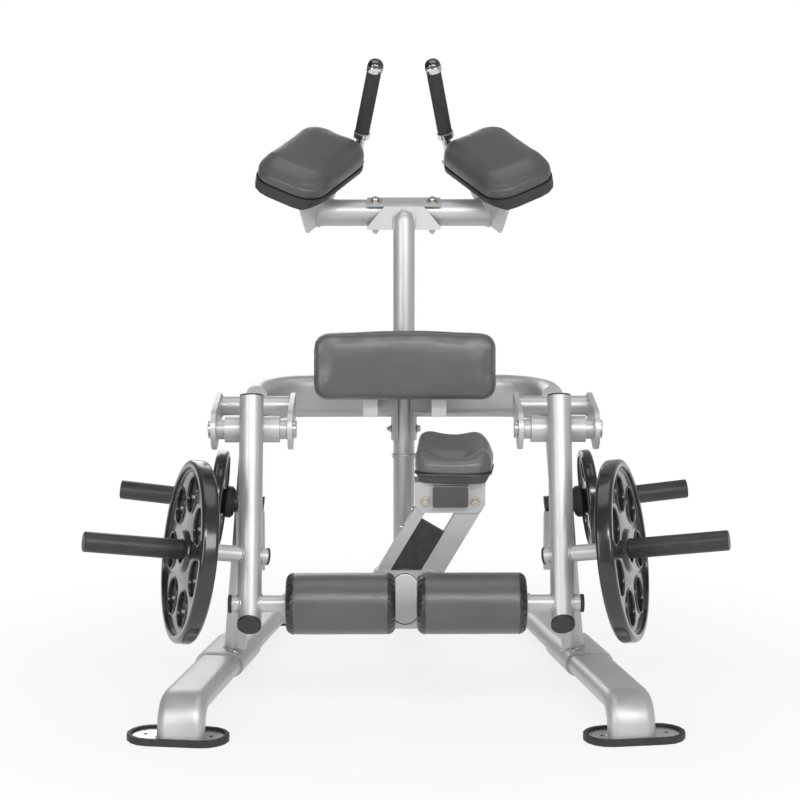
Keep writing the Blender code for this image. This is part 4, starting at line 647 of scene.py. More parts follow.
def landing(node, start, direction):
    """Where a ray meets a CAD node, and the surface's normal there."""
    obj = frame["nodes"][node]
    back = obj.matrix_world.inverted()
    heading = (back.to_3x3() @ direction).normalized()
    hit, spot, normal = obj.ray_cast(back @ start, heading)[:3]
    if not hit:
        raise ValueError("nothing of %s lies below the point" % node)
    return obj.matrix_world @ spot, (obj.matrix_world.to_3x3() @ normal).normalized()


# Cushions

CLOTH = {
    "quality": 6, "mass": 0.25, "tension_stiffness": 25.0, "compression_stiffness": 25.0,
    "shear_stiffness": 8.0, "bending_stiffness": 1.5, "use_pressure": True,
    "uniform_pressure_force": 4.0, "vertex_group_mass": "held",
}
CLOTH_FRAMES = 20
COVER_VOXEL = 0.005

# How far each ring of a form lies inside its outline, and its height as a share of the thickness
THIGH_RINGS = ((0.002, 0.000), (0.004, 0.060), (0.0055, 0.250), (0.003, 0.520), (0.004, 0.700),
               (0.009, 0.845), (0.019, 0.915), (0.040, 0.955), (0.062, 0.980))
ELBOW_RINGS = ((0.005, 0.000), (0.0012, 0.045), (0.0010, 0.200), (0.0018, 0.450), (0.0040, 0.660),
               (0.0085, 0.820), (0.0165, 0.920), (0.034, 0.965), (0.066, 0.985))
KNEE_RINGS = ((0.005, 0.000), (0.0012, 0.035), (0.0010, 0.200), (0.0016, 0.440), (0.0050, 0.640),
              (0.0120, 0.790), (0.0230, 0.880), (0.040, 0.925), (0.062, 0.945))


def bulge(x, y, width, bow):
    """How far a bowed upper edge rises at a point of the outline."""
    return bow * (1.0 - (2.0 * x / width) ** 2) * (y > 0.0)


def padded_form(width, height, corner, thickness, rings, dip=0.0, rear_rise=0.0, bow=0.0):
    """The upholstered form before its cover is stretched: a flat back and a crowned face."""
    outline = split_long(outline_points(width, height, corner, 10), 0.02)
    bm = bmesh.new()
    loops = []
    for inset, level in rings:
        loop = []
        for x, y in outline:
            across = x * (1.0 - 2.0 * inset / width)
            share = clamp((level - 0.3) / 0.6)
            z = thickness * level + share * dip * ((2.0 * across / width) ** 2 - 0.5)
            z += share * rear_rise * y / height
            rise = bulge(x, y, width, bow) * (0.3 + 0.7 * share)
            loop.append(bm.verts.new((across, y * (1.0 - 2.0 * inset / height) + rise, z)))
        loops.append(loop)
    bridge(bm, loops + [[bm.verts.new((0.0, 0.0, thickness - dip * 0.5))]])
    bm.faces.new(list(reversed(loops[0])))
    return bm


def applied(obj):
    """Apply every modifier of an object to its mesh."""
    graph = bpy.context.evaluated_depsgraph_get()
    mesh = bpy.data.meshes.new_from_object(obj.evaluated_get(graph))
    obj.modifiers.clear()
    old = obj.data
    obj.data = mesh
    bpy.data.meshes.remove(old)


def smoothing(obj, iterations):
    even = obj.modifiers.new("even", "SMOOTH")
    even.factor = 0.5
    even.iterations = iterations


def evened(mesh, moves, rounds):
    """The moves of a mesh's points, averaged with their neighbours' so that no buckle stays."""
    near = [[] for move in moves]
    for edge in mesh.edges:
        first, second = edge.vertices
        near[first].append(second)
        near[second].append(first)
    while rounds:
        rounds -= 1
        moves = [(move + sum((moves[other] for other in others), Vector())) / (len(others) + 1)
                 for move, others in zip(moves, near)]
    return moves


def inflate(name, bm, held, cap):
    """Stretch a cover over a form with a cloth simulation, and cap how far it swells.

    held(point) is true where the cover is stapled down and can't move.
    """
    bmesh.ops.recalc_face_normals(bm, faces=bm.faces)
    obj = added(name, mesh_of(name, bm))
    remesh = obj.modifiers.new("remesh", "REMESH")
    remesh.mode = "VOXEL"
    remesh.voxel_size = COVER_VOXEL
    smoothing(obj, 6)
    applied(obj)
    rest = [vertex.co.copy() for vertex in obj.data.vertices]
    group = obj.vertex_groups.new(name="held")
    group.add([i for i, point in enumerate(rest) if held(point)], 1.0, "REPLACE")
    cloth = obj.modifiers.new("cloth", "CLOTH")
    for key, value in CLOTH.items():
        setattr(cloth.settings, key, value)
    cloth.settings.effector_weights.gravity = 0.0
    cloth.collision_settings.use_collision = False
    cloth.point_cache.frame_start = 1
    cloth.point_cache.frame_end = CLOTH_FRAMES
    for step in range(CLOTH_FRAMES):
        bpy.context.scene.frame_set(step + 1)
    applied(obj)
    moves = [vertex.co - before for vertex, before in zip(obj.data.vertices, rest)]
    moves = [move * min(1.0, cap / max(move.length, 1e-9)) for move in moves]
    moves = evened(obj.data, moves, 40)
    for vertex, before, move in zip(obj.data.vertices, rest, moves):
        vertex.co = before + move
    bpy.context.scene.frame_set(1)
    smoothing(obj, 3)
    finer = obj.modifiers.new("finer", "SUBSURF")
    finer.levels = 1
    finer.render_levels = 1
    applied(obj)
    return obj


def cushion(obj, change, matrix, node, body, material=VINYL):
    """Finish a form that stands for a CAD node: last shape, place and vinyl.

    change(point, normal) is how far a point moves.
    """
    mesh = obj.data
    moves = [change(vertex.co, vertex.normal) for vertex in mesh.vertices]
    for vertex, move in zip(mesh.vertices, moves):
        vertex.co += move
    mesh.transform(matrix)
    mesh.shade_smooth()
    mesh.materials.clear()
    mesh.materials.append(material)
    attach(obj, body)
    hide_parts(node)


def outline_distance(x, y, width, height, corner):
    """How far inside a rounded rectangle a point is, and the angle round its corner."""
    qx = abs(x) - (width / 2.0 - corner)
    qy = abs(y) - (height / 2.0 - corner)
    outside = math.hypot(max(qx, 0.0), max(qy, 0.0)) + min(max(qx, qy), 0.0)
    turn = math.atan2(max(qy, 0.0), max(qx, 0.0)) if qx > 0.0 and qy > 0.0 else None
    return corner - outside, turn


def stitches(name, path, surface, body):
    """A row of thread stitches along a path, laid on the nearest surface."""
    pitch, length, radius = 0.0052, 0.0034, 0.0005
    mesh = surface.data
    tree = BVHTree.FromPolygons([v.co.copy() for v in mesh.vertices],
                                [tuple(p.vertices) for p in mesh.polygons])
    points = resample(path, max(8, int(path_length(path) / pitch)))
    bm = bmesh.new()
    for index, point in enumerate(points):
        ahead = (points[(index + 1) % len(points)] - points[index - 1]).normalized()
        spot, normal = tree.find_nearest(point)[:2]
        ends = []
        for share in (-0.5, -0.3, 0.0, 0.3, 0.5):
            rise = radius * (1.1 if abs(share) < 0.4 else -0.6)
            ends.append(spot + ahead * length * share + normal * rise)
        tube_into(bm, ends, [radius * 0.6, radius, radius, radius, radius * 0.6], False, 6)
    place(name, bm, THREAD, body, 60.0)


def make_thigh_cushion():
    lean = math.radians(THIGH_LEAN_DEG)
    out = Vector((0.0, -math.cos(lean), math.sin(lean)))
    up = Vector((0.0, math.sin(lean), math.cos(lean)))
    place_at = frame_of(THIGH_AT, Vector((1.0, 0.0, 0.0)), up, out)
    matrix = place_at @ lift(THIGH_BOARD + GAP)
    width, height, corner, thickness = THIGH
    bm = padded_form(width - 0.003, height - 0.003, corner, thickness - 0.002, THIGH_RINGS,
                     bow=THIGH_BOW)
    obj = inflate("thigh_pad", bm, lambda p: p.z < 0.012, 0.006)

    def change(point, normal):
        """A groove at the seam, pleats round the corners and slack beside the seam."""
        x, y = point.x, point.y
        lifted = y - bulge(x, y, width, THIGH_BOW)
        inside, turn = outline_distance(x, lifted, width, height, corner)
        front = point.z / thickness
        move = normal * -0.0014 * bell(inside, 0.0085, 0.0022) * (front > 0.55)
        if turn is not None and front < 0.8:
            pleat = math.sin(turn * 2.0 * math.pi / math.radians(17.0))
            move += normal * 0.0009 * pleat * bell(front, 0.2, 0.35)
        pull = noise.noise(Vector((x * 26.0, y * 60.0, 1.5)))
        return move + normal * 0.0007 * pull * bell(inside, 0.020, 0.022)

    cushion(obj, change, matrix, "thigh_cushion", "frame")
    seam = [matrix @ Vector((x, y + bulge(x, y, width, THIGH_BOW), thickness * 0.93))
            for x, y in inset_outline(THIGH, 0.0128, 10)]
    stitches("thigh_stitches", seam, obj, "frame")


def cord(name, path, radius, body):
    """A closed black cord along a path."""
    bm = bmesh.new()
    tube_into(bm, path, [radius] * len(path), True, 8)
    place(name, bm, RUBBER, body, 60.0)


def gap_shade_cord(name, size, matrix, body, inset):
    """A thin black edge between a cushion and its board: painted shade of the gap where they meet.
    """
    outline = [matrix @ Vector((x, y, 0.0004)) for x, y in inset_outline(size, inset)]
    cord(name, resample(outline, 160), 0.0013, body)


def make_elbow_cushions():
    thickness = ELBOW[3]
    for side_name, side in SIDES:
        matrix = elbow_frame(side) @ lift(ELBOW_BOARD + GAP)
        bm = padded_form(*ELBOW, ELBOW_RINGS)
        obj = inflate(side_name + "_elbow_pad", bm, lambda p: p.z < 0.010, 0.006)

        def change(point, normal):
            """Slack in the cover, a few creases, and the face that falls at the near end."""
            level = point.z / thickness
            drag = noise.noise(Vector((point.x * 30.0, point.y * 14.0, side * 3.0)))
            slack = bell(point.y, -0.105, 0.045) * bell(level, 0.70, 0.30)
            crease = math.sin((point.x * side + point.y * 0.45) * 420.0)
            crease *= bell(point.x * side, -0.030, 0.020) * bell(point.y, -0.118, 0.020)
            beyond = max(0.0, 4.5 * point.x ** 2 - 0.108 - point.y)
            fall = 0.34 * beyond ** 2 / (beyond + 0.012) * clamp((level - 0.45) / 0.4)
            swell = 0.0006 * drag * (1.0 + slack) + 0.0002 * crease * (level > 0.4)
            return normal * swell - Vector((0.0, 0.0, fall))

        # The elbow pads take the darker vinyl copy, painted shade.
        cushion(obj, change, matrix, side_name + "_elbow_cushion", "frame", SHADED_ELBOW_VINYL)
        gap_shade_cord(side_name + "_elbow_gap_shade", ELBOW, matrix, "frame", 0.0014)


def make_knee_shell(matrix):
    """The moulded shell under the knee cushion: drawn in below, with a lip at its top."""
    bm = bmesh.new()
    loops = []
    for inset, level in ((0.0190, 0.0000), (0.0160, 0.0008), (0.0135, 0.0035), (0.0085, 0.0135),
                         (0.0046, 0.0205), (0.0030, 0.0212), (0.0008, 0.0222), (0.0004, 0.0250),
                         (0.0012, 0.0262), (0.0040, 0.0262)):
        loops.append(points_into(bm, [(x, y, level) for x, y in inset_outline(KNEE, inset)]))
    bridge(bm, loops)
    close_ends(bm, loops)
    shell = place("knee_shell_moulding", bm, BOARD, "carrier_body", 50.0, matrix)
    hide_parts("knee_shell")


def make_knee_cushion():
    seat = LINK_TOP + Vector((KNEE_SHIFT, KNEE_BACK, CARRIER_RISE + CARRIER_PLATE + GAP))
    shell_at = Matrix.Translation(seat) @ Matrix.Rotation(math.radians(KNEE_TURN_DEG), 4, "Z")
    matrix = shell_at @ lift(KNEE_SHELL + GAP)
    width, height, corner, thickness = KNEE
    bm = padded_form(width - 0.002, height - 0.002, corner, thickness - 0.008, KNEE_RINGS,
                     dip=0.028, rear_rise=0.048)
    obj = inflate("knee_pad", bm, lambda p: p.z < 0.012, 0.005)

    def change(point, normal):
        """A crease across the front with a roll before it, and a cover drawn to the left."""
        level = point.z / thickness
        valley = -0.052 + 2.6 * point.x ** 2
        strong = bell(point.x, -0.012, 0.062) * (level > 0.35)
        crease = 0.0115 * bell(point.y, valley, 0.014) * strong
        roll = 0.0040 * bell(point.y, valley - 0.030, 0.017) * bell(point.x, 0.010, 0.075)
        shoulder = bell(point.y, 0.085, 0.050) * bell(abs(point.x), 0.066, 0.030)
        roll += 0.0025 * shoulder * (level > 0.6)
        drag = noise.noise(Vector((point.x * 24.0, point.y * 24.0, 7.0)))
        drawn = 0.013 + 0.010 * clamp((point.x - 0.015) / 0.070)
        drawn *= max(0.0, level - 0.35)
        return normal * (roll - crease + 0.0008 * drag) - Vector((drawn, 0.0, 0.0))

    # The knee pad takes the lighter vinyl copy, painted light.
    cushion(obj, change, matrix, "knee_cushion", "carrier_body", LIT_KNEE_VINYL)
    gap_shade_cord("knee_gap_shade", KNEE, matrix, "carrier_body", 0.0024)
    make_knee_shell(shell_at)


# Roller pads: a sewn tube of vinyl over foam, gathered round a disc at each end

ROLLER_EDGE = 0.020
FOLDS = 26
FOLD_STEPS = 208


def gathered_cap(name, matrix, body):
    """The end of a roller's cover, drawn together in small folds over the rim."""
    radius = ROLLER_RADIUS
    rows = ((ROLLER_EDGE + 0.002, 0.0030), (ROLLER_EDGE - 0.001, 0.0008), (0.0150, 0.0012),
            (0.0100, 0.0036), (0.0058, 0.0075), (0.0026, 0.0120), (0.0008, 0.0160),
            (0.0001, 0.0185), (0.0010, 0.0192), (0.0040, 0.0160), (0.0120, 0.0080),
            (ROLLER_EDGE, 0.0050))
    bm = bmesh.new()
    rings = []
    for row, (inset, height) in enumerate(rows):
        share = bell(row, 3.5, 2.2) * (row < 8)
        ring = []
        for angle in angles(FOLD_STEPS):
            wave = math.cos(FOLDS * angle + 0.7 * math.sin(5.0 * angle))
            reach = radius - inset + 0.0013 * share * (wave - 0.4)
            seam = 0.0009 * math.cos(FOLDS * angle * 0.5) * (row in (6, 7, 8))
            spot = Vector((reach * math.cos(angle), reach * math.sin(angle), height + seam))
            ring.append(bm.verts.new(matrix @ spot))
        rings.append(ring)
    bridge(bm, rings, True)
    # The gathered end takes the near-black vinyl copy: painted shade in its folds.
    place(name, bm, SHADED_END_VINYL, body, 60.0)


def make_rollers():
    radius = ROLLER_RADIUS
    length = ROLLER_LENGTH
    profile = [(0.016, 0.010), (0.030, 0.010), (radius * 0.62, 0.0035),
               (radius - ROLLER_EDGE, 0.002), (radius - 0.010, 0.006), (radius - 0.0030, 0.0140),
               (radius - 0.0008, 0.0200), (radius - 0.0006, length / 2.0),
               (radius - 0.0008, length - 0.0200), (radius - 0.0030, length - 0.0140),
               (radius - 0.010, length - 0.006), (radius - ROLLER_EDGE, length - 0.002),
               (radius * 0.62, length - GAP), (0.030, length - 0.004), (0.016, length - 0.004)]
    disc = [(0.0170, 0.0), (radius - 0.0235, 0.0), (radius - 0.0215, 0.0012),
            (radius - 0.0215, 0.0030), (0.0170, 0.0030)]
    for side_name, side in SIDES:
        roller = side_name + "_roller"
        body = side_name + "_roller_body"
        seat = arm_point(side, AXLE_DOWN)
        start = side * (ROLLER_CENTRE_X - length / 2.0)
        matrix = frame_at((start, seat.y, seat.z), (side, 0.0, 0.0))
        bm = bmesh.new()
        spin_into(bm, profile, Matrix.Identity(4), 64)
        obj = inflate(roller + "_pad", bm, lambda p: math.hypot(p.x, p.y) < radius * 0.66, 0.003)

        def change(point, normal):
            angle = math.atan2(point.y, point.x)
            drag = noise.noise(Vector((angle * 1.6, point.z * 14.0, side * 5.0)))
            return normal * 0.0005 * drag

        cushion(obj, change, matrix, roller, body)
        ends = (("inner", matrix), ("outer", matrix @ lift(length) @ TURN_OVER))
        for end_name, inward in ends:
            gathered_cap("%s_%s_gather" % (roller, end_name), inward, body)
        for end_name, inward in ends:
            turned("%s_%s_disc" % (roller, end_name), disc, inward @ lift(0.0036) @ TURN_OVER,
                   RUBBER, body)


make_thigh_cushion()
make_elbow_cushions()
make_knee_cushion()
make_rollers()


# Weight plates

def flat_with_holes(outlines, thickness, bevel):
    """A flat disc with round holes and rounded edges, as a bmesh in its own plane."""
    curve = bpy.data.curves.new("flat", "CURVE")
    curve.dimensions = "2D"
    curve.fill_mode = "BOTH"
    curve.extrude = thickness / 2.0 - bevel
    curve.bevel_depth = bevel
    curve.bevel_resolution = 3
    curve.offset = -bevel
    for outline in outlines:
        spline = curve.splines.new("POLY")
        spline.points.add(len(outline) - 1)
        for point, spot in zip(spline.points, outline):
            point.co = (*spot, 0.0, 1.0)
        spline.use_cyclic_u = True
    obj = added("flat", curve)
    bpy.context.view_layer.update()
    graph = bpy.context.evaluated_depsgraph_get()
    bm = bmesh.new()
    bm.from_mesh(bpy.data.meshes.new_from_object(obj.evaluated_get(graph)))
    bmesh.ops.remove_doubles(bm, verts=bm.verts, dist=0.000005)
    bpy.data.objects.remove(obj)
    return bm


def lip_profile(inner, outer, low, high):
    """A rounded raised ring from inner to outer radius, between two heights."""
    half = (outer - inner) / 2.0
    rise = high - half if high - half > low else low
    crest = arc(((outer + inner) / 2.0, rise), half, 180.0, 0.0, 6, high - rise)
    return [(inner, low)] + crest + [(outer, low)]


def weight_plate(name, matrix, size, grips, bore, body):
    """A cast plate: rounded rim, recessed web, hub, and grip holes with raised lips."""
    radius, thickness, rim, web, hub = size
    count, grip_circle, grip = grips
    centres = arc((0.0, 0.0), grip_circle, 90.0, 450.0, count)[:-1]
    holes = [(radius - rim * 0.5, 96, (0.0, 0.0)), (bore, 48, (0.0, 0.0))]
    holes += [(grip, 56, centre) for centre in centres]
    web_edge = 0.0022
    bm = flat_with_holes([arc(centre, reach, 0.0, 360.0, steps)[:-1]
                          for reach, steps, centre in holes], web, web_edge)
    half = thickness / 2.0
    inner = radius - rim
    turn = 0.010
    profile = arc((radius - turn, turn - half), turn, -90.0, 0.0, 8)
    profile += arc((radius - turn, half - turn), turn, 0.0, 90.0, 8)
    small = 0.0022
    profile += arc((inner + small, half - small), small, 90.0, 180.0, 4)
    profile += arc((inner + small, small - half), small, -180.0, -90.0, 4)
    spin_into(bm, profile, Matrix.Identity(4), 96)
    foot = web / 2.0 - 0.001
    hub_profile = [(bore, foot)] + lip_profile(bore, bore + 0.0065, foot, half)[1:4]
    hub_profile += [(hub - 0.010, half - 0.0004), (hub - 0.004, half - 0.0030), (hub, foot)]
    web_lip = lip_profile(inner - 0.007, inner + 0.001, foot, web / 2.0 + 0.0022)
    grip_lip = lip_profile(grip - 0.0004, grip + 0.0052, foot, web / 2.0 + 0.0026)
    for sign, face in ((1.0, Matrix.Identity(4)), (-1.0, TURN_OVER)):
        spin_into(bm, hub_profile, face, 64)
        spin_into(bm, web_lip, face, 96)
        for x, y in centres:
            spin_into(bm, grip_lip, face @ Matrix.Translation((x, y * sign, 0.0)), 56)
    obj = place(name + "_casting", bm, GLOSS, body, 40.0, matrix)
    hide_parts(name)


def make_plates():
    around_bore = 1.0 / math.cos(math.pi / BORE_STEPS)
    for side_name, side in SIDES:
        direction = peg_direction(side)
        along = PEG_STOP + GAP + LARGE_PLATE[1] / 2.0
        hang = plate_frame(Vector(), direction, side).col[1].to_3d() * PLATE_HANG
        centre = arm_point(side, PEG_DOWN) + direction * along - hang
        bore = (PEG_SLEEVE_RADIUS + PLATE_HANG + BORE_CLEARANCE) * around_bore
        weight_plate(side_name + "_large_plate", plate_frame(centre, direction, side),
                     LARGE_PLATE, LARGE_GRIPS, bore, side_name + "_large_plate_body")
        seat, direction = store_axis(side)
        centre = seat + direction * (DONUT_END + GAP + SMALL_PLATE[1] / 2.0)
        bore = (STORE_RADIUS + BORE_CLEARANCE) * around_bore
        weight_plate(side_name + "_small_plate", plate_frame(centre, direction, side),
                     SMALL_PLATE, SMALL_GRIPS, bore, side_name + "_small_plate_body")


make_plates()


# Handles

def grip_into(bm, radius, low, length):
    """A grip with crossed ribs round the Z axis."""
    around = 144
    rows = 150
    rings = []
    for row in range(rows + 1):
        height = low + length * row / rows
        fade = min(1.0, min(row, rows - row) / 5.0)
        ring = []
        for angle in angles(around):
            diamond = (math.cos(18.0 * angle + row * math.pi / 4.0)
                       * math.cos(18.0 * angle - row * math.pi / 4.0))
            reach = radius - 0.0004 + 0.00065 * diamond * fade
            ring.append(bm.verts.new((reach * math.cos(angle), reach * math.sin(angle), height)))
        rings.append(ring)
    bridge(bm, rings)
    close_ends(bm, rings)


def make_handles():
    """Chrome neck and collars, a grip with crossed ribs, and a domed cap."""
    neck_radius, neck, collar_radius, collar = 0.0125, 0.072, 0.0225, 0.018
    grip_radius, grip, dome, edge = 0.0195, 0.180, 0.018, 0.0016
    low = neck + collar
    high = low + grip
    end = high + collar
    brim = collar_radius - edge * 0.6
    profile = [(0.0, 0.0), (neck_radius, 0.0), (neck_radius, neck),
               (collar_radius - edge, neck), (collar_radius, neck + edge),
               (collar_radius, low - edge), (collar_radius - edge, low),
               (0.015, low), (0.015, high), (collar_radius - edge, high),
               (collar_radius, high + edge), (collar_radius, end - edge), (brim, end), (0.0, end)]
    cap = [(0.0, end)] + arc((0.0, end), brim, 0.0, 90.0, 8, dome)
    for side_name, side in SIDES:
        foot = Matrix.Translation((-side * HANDLE_OFFSET, ELBOW[1] / 2.0 + HANDLE_BACK, 0.0))
        matrix = elbow_frame(side) @ foot
        # The dome takes the dark chrome copy: a painted dark reflection.
        turned(side_name + "_handle_dome", cap, matrix, SHADED_CHROME, "frame")
        obj = turned(side_name + "_handle_chrome", profile, matrix, CHROME, "frame")
        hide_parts(side_name + "_handle")
        bm = bmesh.new()
        grip_into(bm, grip_radius, low + GAP, grip - 2.0 * GAP)
        place(side_name + "_handle_grip", bm, GRIP, "frame", 80.0, matrix)


make_handles()


# Caps, screws and welds

CAP_EDGE = 0.0015


def end_cap(name, radius, height, spot, out, body):
    """A rubber cap on the end of a round tube."""
    profile = [(0.0, 0.0), (radius, 0.0), (radius, height - CAP_EDGE),
               (radius - CAP_EDGE * 0.3, height - CAP_EDGE * 0.3), (radius - CAP_EDGE, height),
               (0.0, height)]
    turned(name, profile, frame_at(spot, out), RUBBER, body)


def make_caps():
    for side_name, side in SIDES:
        arm = side_name + "_arm_body"
        end_cap(side_name + "_arm_top_cap", ARM_RADIUS - 0.0006, 0.0042,
                arm_point(side, -ARM_ABOVE_PIVOT), -ARM_DOWN, arm)
        direction = peg_direction(side)
        end_cap(side_name + "_peg_inner_cap", 0.0215, 0.0055,
                arm_point(side, PEG_DOWN) - direction * PEG_INNER_LENGTH, -direction, arm)
        outward = Vector((side, 0.0, 0.0))
        end_cap(side_name + "_axle_outer_cap", 0.0225, 0.0080,
                arm_point(side, AXLE_DOWN) + outward * AXLE_OUTER_LENGTH, outward, arm)
        seat, direction = store_axis(side)
        end_cap(side_name + "_store_inner_cap", 0.0250, 0.0040,
                seat - direction * STORE_INNER_LENGTH, -direction, "frame")


def flat_cap(name, outline, matrix, height, material, body):
    """A flat cap with a rounded outline and a softened edge, standing on the XY plane."""
    bm = bmesh.new()
    reach = max(max(abs(x), abs(y)) for x, y in outline)
    loops = []
    for inset, level in ((0.0, 0.0), (0.0, height - CAP_EDGE),
                         (CAP_EDGE * 0.3, height - CAP_EDGE * 0.3), (CAP_EDGE, height),
                         (CAP_EDGE * 2.0, height)):
        scale = 1.0 - inset / reach
        loops.append(points_into(bm, [matrix @ Vector((x * scale, y * scale, level))
                                      for x, y in outline]))
    bridge(bm, loops)
    close_ends(bm, loops)
    place(name, bm, material, body, 40.0)


def make_flat_caps():
    """The cap on the spine's front end and the one on the carrier's stub."""
    tip = Vector(SPINE_FRONT)
    end = frame_at(tip, tip - Vector(SPINE_REAR))
    flat_cap("spine_cap", inset_outline(SPINE_CAP, 0.0, 14), end, 0.0020, PAINT,
             "frame")
    # A thin black cord round the cap paints the dark line of the gap between the spine's end and
    # the clevis: painted shade.
    gap_shade = 0.0011
    rim = [end @ Vector((x, y, 0.0004)) for x, y in inset_outline(SPINE_CAP, -gap_shade, 14)]
    cord("spine_cap_gap_shade", rim, gap_shade, "frame")
    stub = frame_of((LINK_TOP.x, CLEVIS_FRONT_Y - 0.022, LINK_TOP.z + CARRIER_RISE - 0.027),
                    Vector((1.0, 0.0, 0.0)), Vector((0.0, 0.0, 1.0)), Vector((0.0, -1.0, 0.0)))
    flat_cap("carrier_cap", outline_points(0.0905, 0.0525, 0.0050, 6), stub, 0.0035, BOARD,
             "carrier_body")


def hex_into(bm, matrix, radius, height):
    """A hexagon head or nut with chamfered corners, standing on the matrix's XY plane."""
    rings = []
    for share, steps, level in ((1.0, 6, 0.0), (1.0, 6, height - 0.00128), (0.90, 6, height),
                                (0.0, 1, height)):
        spots = wheel(radius * share, steps, level)
        rings.append(points_into(bm, [matrix @ spot for spot in spots]))
    bm.faces.new(list(reversed(rings[0])))
    bridge(bm, rings)


def screw(name, spot, outward, body, radius, height, kind, washer=None):
    """A screw head or nut on a face, with its washer. kind is hex, nut or socket."""
    matrix = frame_at(spot, outward)
    bm = bmesh.new()
    wide = washer or radius * 1.35
    thick = 0.0019
    spin_into(bm, [(0.0, 0.0), (wide, 0.0), (wide, 0.0014), (wide - 0.0006, thick),
                   (0.0, thick)], matrix, 32)
    head = matrix @ lift(thick)
    if kind == "socket":
        socket = radius * 0.48
        spin_into(bm, [(0.0, height * 0.45), (socket, height * 0.45), (socket, height * 0.98),
                       (socket * 1.12, height), (radius * 0.80, height * 0.90),
                       (radius * 0.96, height * 0.55), (radius, height * 0.15), (radius, 0.0),
                       (0.0, 0.0)], head, 32)
    else:
        hex_into(bm, head, radius, height)
    if kind == "nut":
        spin_into(bm, [(0.0, height - 0.001), (radius * 0.52, height - 0.001),
                       (radius * 0.52, height + 0.0030), (radius * 0.44, height + 0.0038),
                       (0.0, height + 0.0038)], head, 24)
    place(name, bm, BOLT, body, 30.0)


def make_screws():
    tilt = math.radians(HEAD_TILT_DEG)
    out = Vector((0.0, -math.sin(tilt), math.cos(tilt)))
    for number, x in enumerate((-0.076, 0.076)):
        face = Vector((x, 0.0466, BAR_Z + 0.0287)) + out * 0.0040
        screw("head_bolt_%d" % number, face, out, "frame", 0.0100, 0.0075, "hex", 0.0165)
        low = Vector((x, 0.0600, BAR_Z - BAR_RADIUS - GAP - 0.008))
        screw("head_nut_%d" % number, low, (0, 0, -1), "frame", 0.0080, 0.0065, "nut")
    cross = Vector((0.0, POST_Y, 0.690))
    reach = Vector((0.0342, 0.0, 0.0))
    screw("post_bolt", cross + reach, (1, 0, 0), "frame", 0.0095, 0.0090, "socket")
    screw("post_nut", cross - reach, (-1, 0, 0), "frame", 0.0085, 0.0065, "nut")
    for name, sign in (("a", -1.0), ("b", 1.0)):
        foot = Vector((sign * LINK_X, LINK_Y, LINK_FOOT_Z))
        top = foot + LINK_UP * LINK_LENGTH
        for end_name, spot, body in (("top", top, "carrier_body"), ("foot", foot, "frame")):
            front = (spot.x, CLEVIS_FRONT_Y - 0.001, spot.z)
            back = (spot.x, CLEVIS_BACK_Y + 0.001, spot.z)
            end = "link_%s_%s" % (name, end_name)
            screw(end + "_screw", front, (0, -1, 0), body, 0.0100, 0.0046, "socket", 0.0136)
            screw(end + "_nut", back, (0, 1, 0), body, 0.0090, 0.0060, "nut")
    foot = Vector((-LINK_X, LINK_Y, LINK_FOOT_Z))
    for number, share in enumerate((0.60, 0.84)):
        edge = foot + LINK_UP * LINK_LENGTH * share - LINK_ACROSS * 0.014
        screw("block_screw_%d" % number, edge, -LINK_ACROSS, "link_a_body", 0.0062, 0.0050,
              "socket")
    for side_name, side in SIDES:
        above = Vector((side * 0.452, -0.105, 0.20))
        spot, normal = landing(side_name + "_upright", above, Vector((0.0, 0.0, -1.0)))
        screw(side_name + "_saddle_screw", spot, normal, "frame", 0.0085, 0.0060, "socket")
        pad = elbow_frame(side)
        down = pad.to_3x3() @ Vector((0.0, 0.0, -1.0))
        for number, y in enumerate((-0.090, 0.105)):
            spot = pad @ Vector((-side * 0.030, y, -0.0086))
            screw("%s_board_screw_%d" % (side_name, number), spot, down, "frame", 0.0075, 0.0045,
                  "socket")


def weld_arm(side_name, side, fixed):
    """The beads of an arm's axle and peg, and those of its yoke, which is part of the frame."""
    swinging = bmesh.new()
    axis_point = arm_point(side, 0.0)
    pivot = Vector((side * ARM_X, PIVOT_Y, PIVOT_Z))
    axle = arm_point(side, AXLE_DOWN)
    peg = arm_point(side, PEG_DOWN)
    for facing in (1.0, -1.0):
        out = Vector((facing, 0.0, 0.0))
        for seat, direction, radius in ((axle, out, AXLE_RADIUS),
                                        (peg, peg_direction(side) * facing * side,
                                         PEG_TUBE_RADIUS)):
            line = cope(seat, direction, radius, axis_point, ARM_DOWN, ARM_RADIUS)
            weld(swinging, line, 0.0026)
        flange = pivot + out * (YOKE_INNER_WIDTH / 2.0 - 0.0006)
        cross = flange + Vector((0.0, CROSS_BACK, CROSS_RISE))
        weld(fixed, circle(flange, out, BUSH_RADIUS + 0.0004), 0.0022)
        weld(fixed, circle(cross, out, CROSS_RADIUS + 0.0006), 0.0030)
    place(side_name + "_arm_welds", swinging, WELD, side_name + "_arm_body", 70.0)


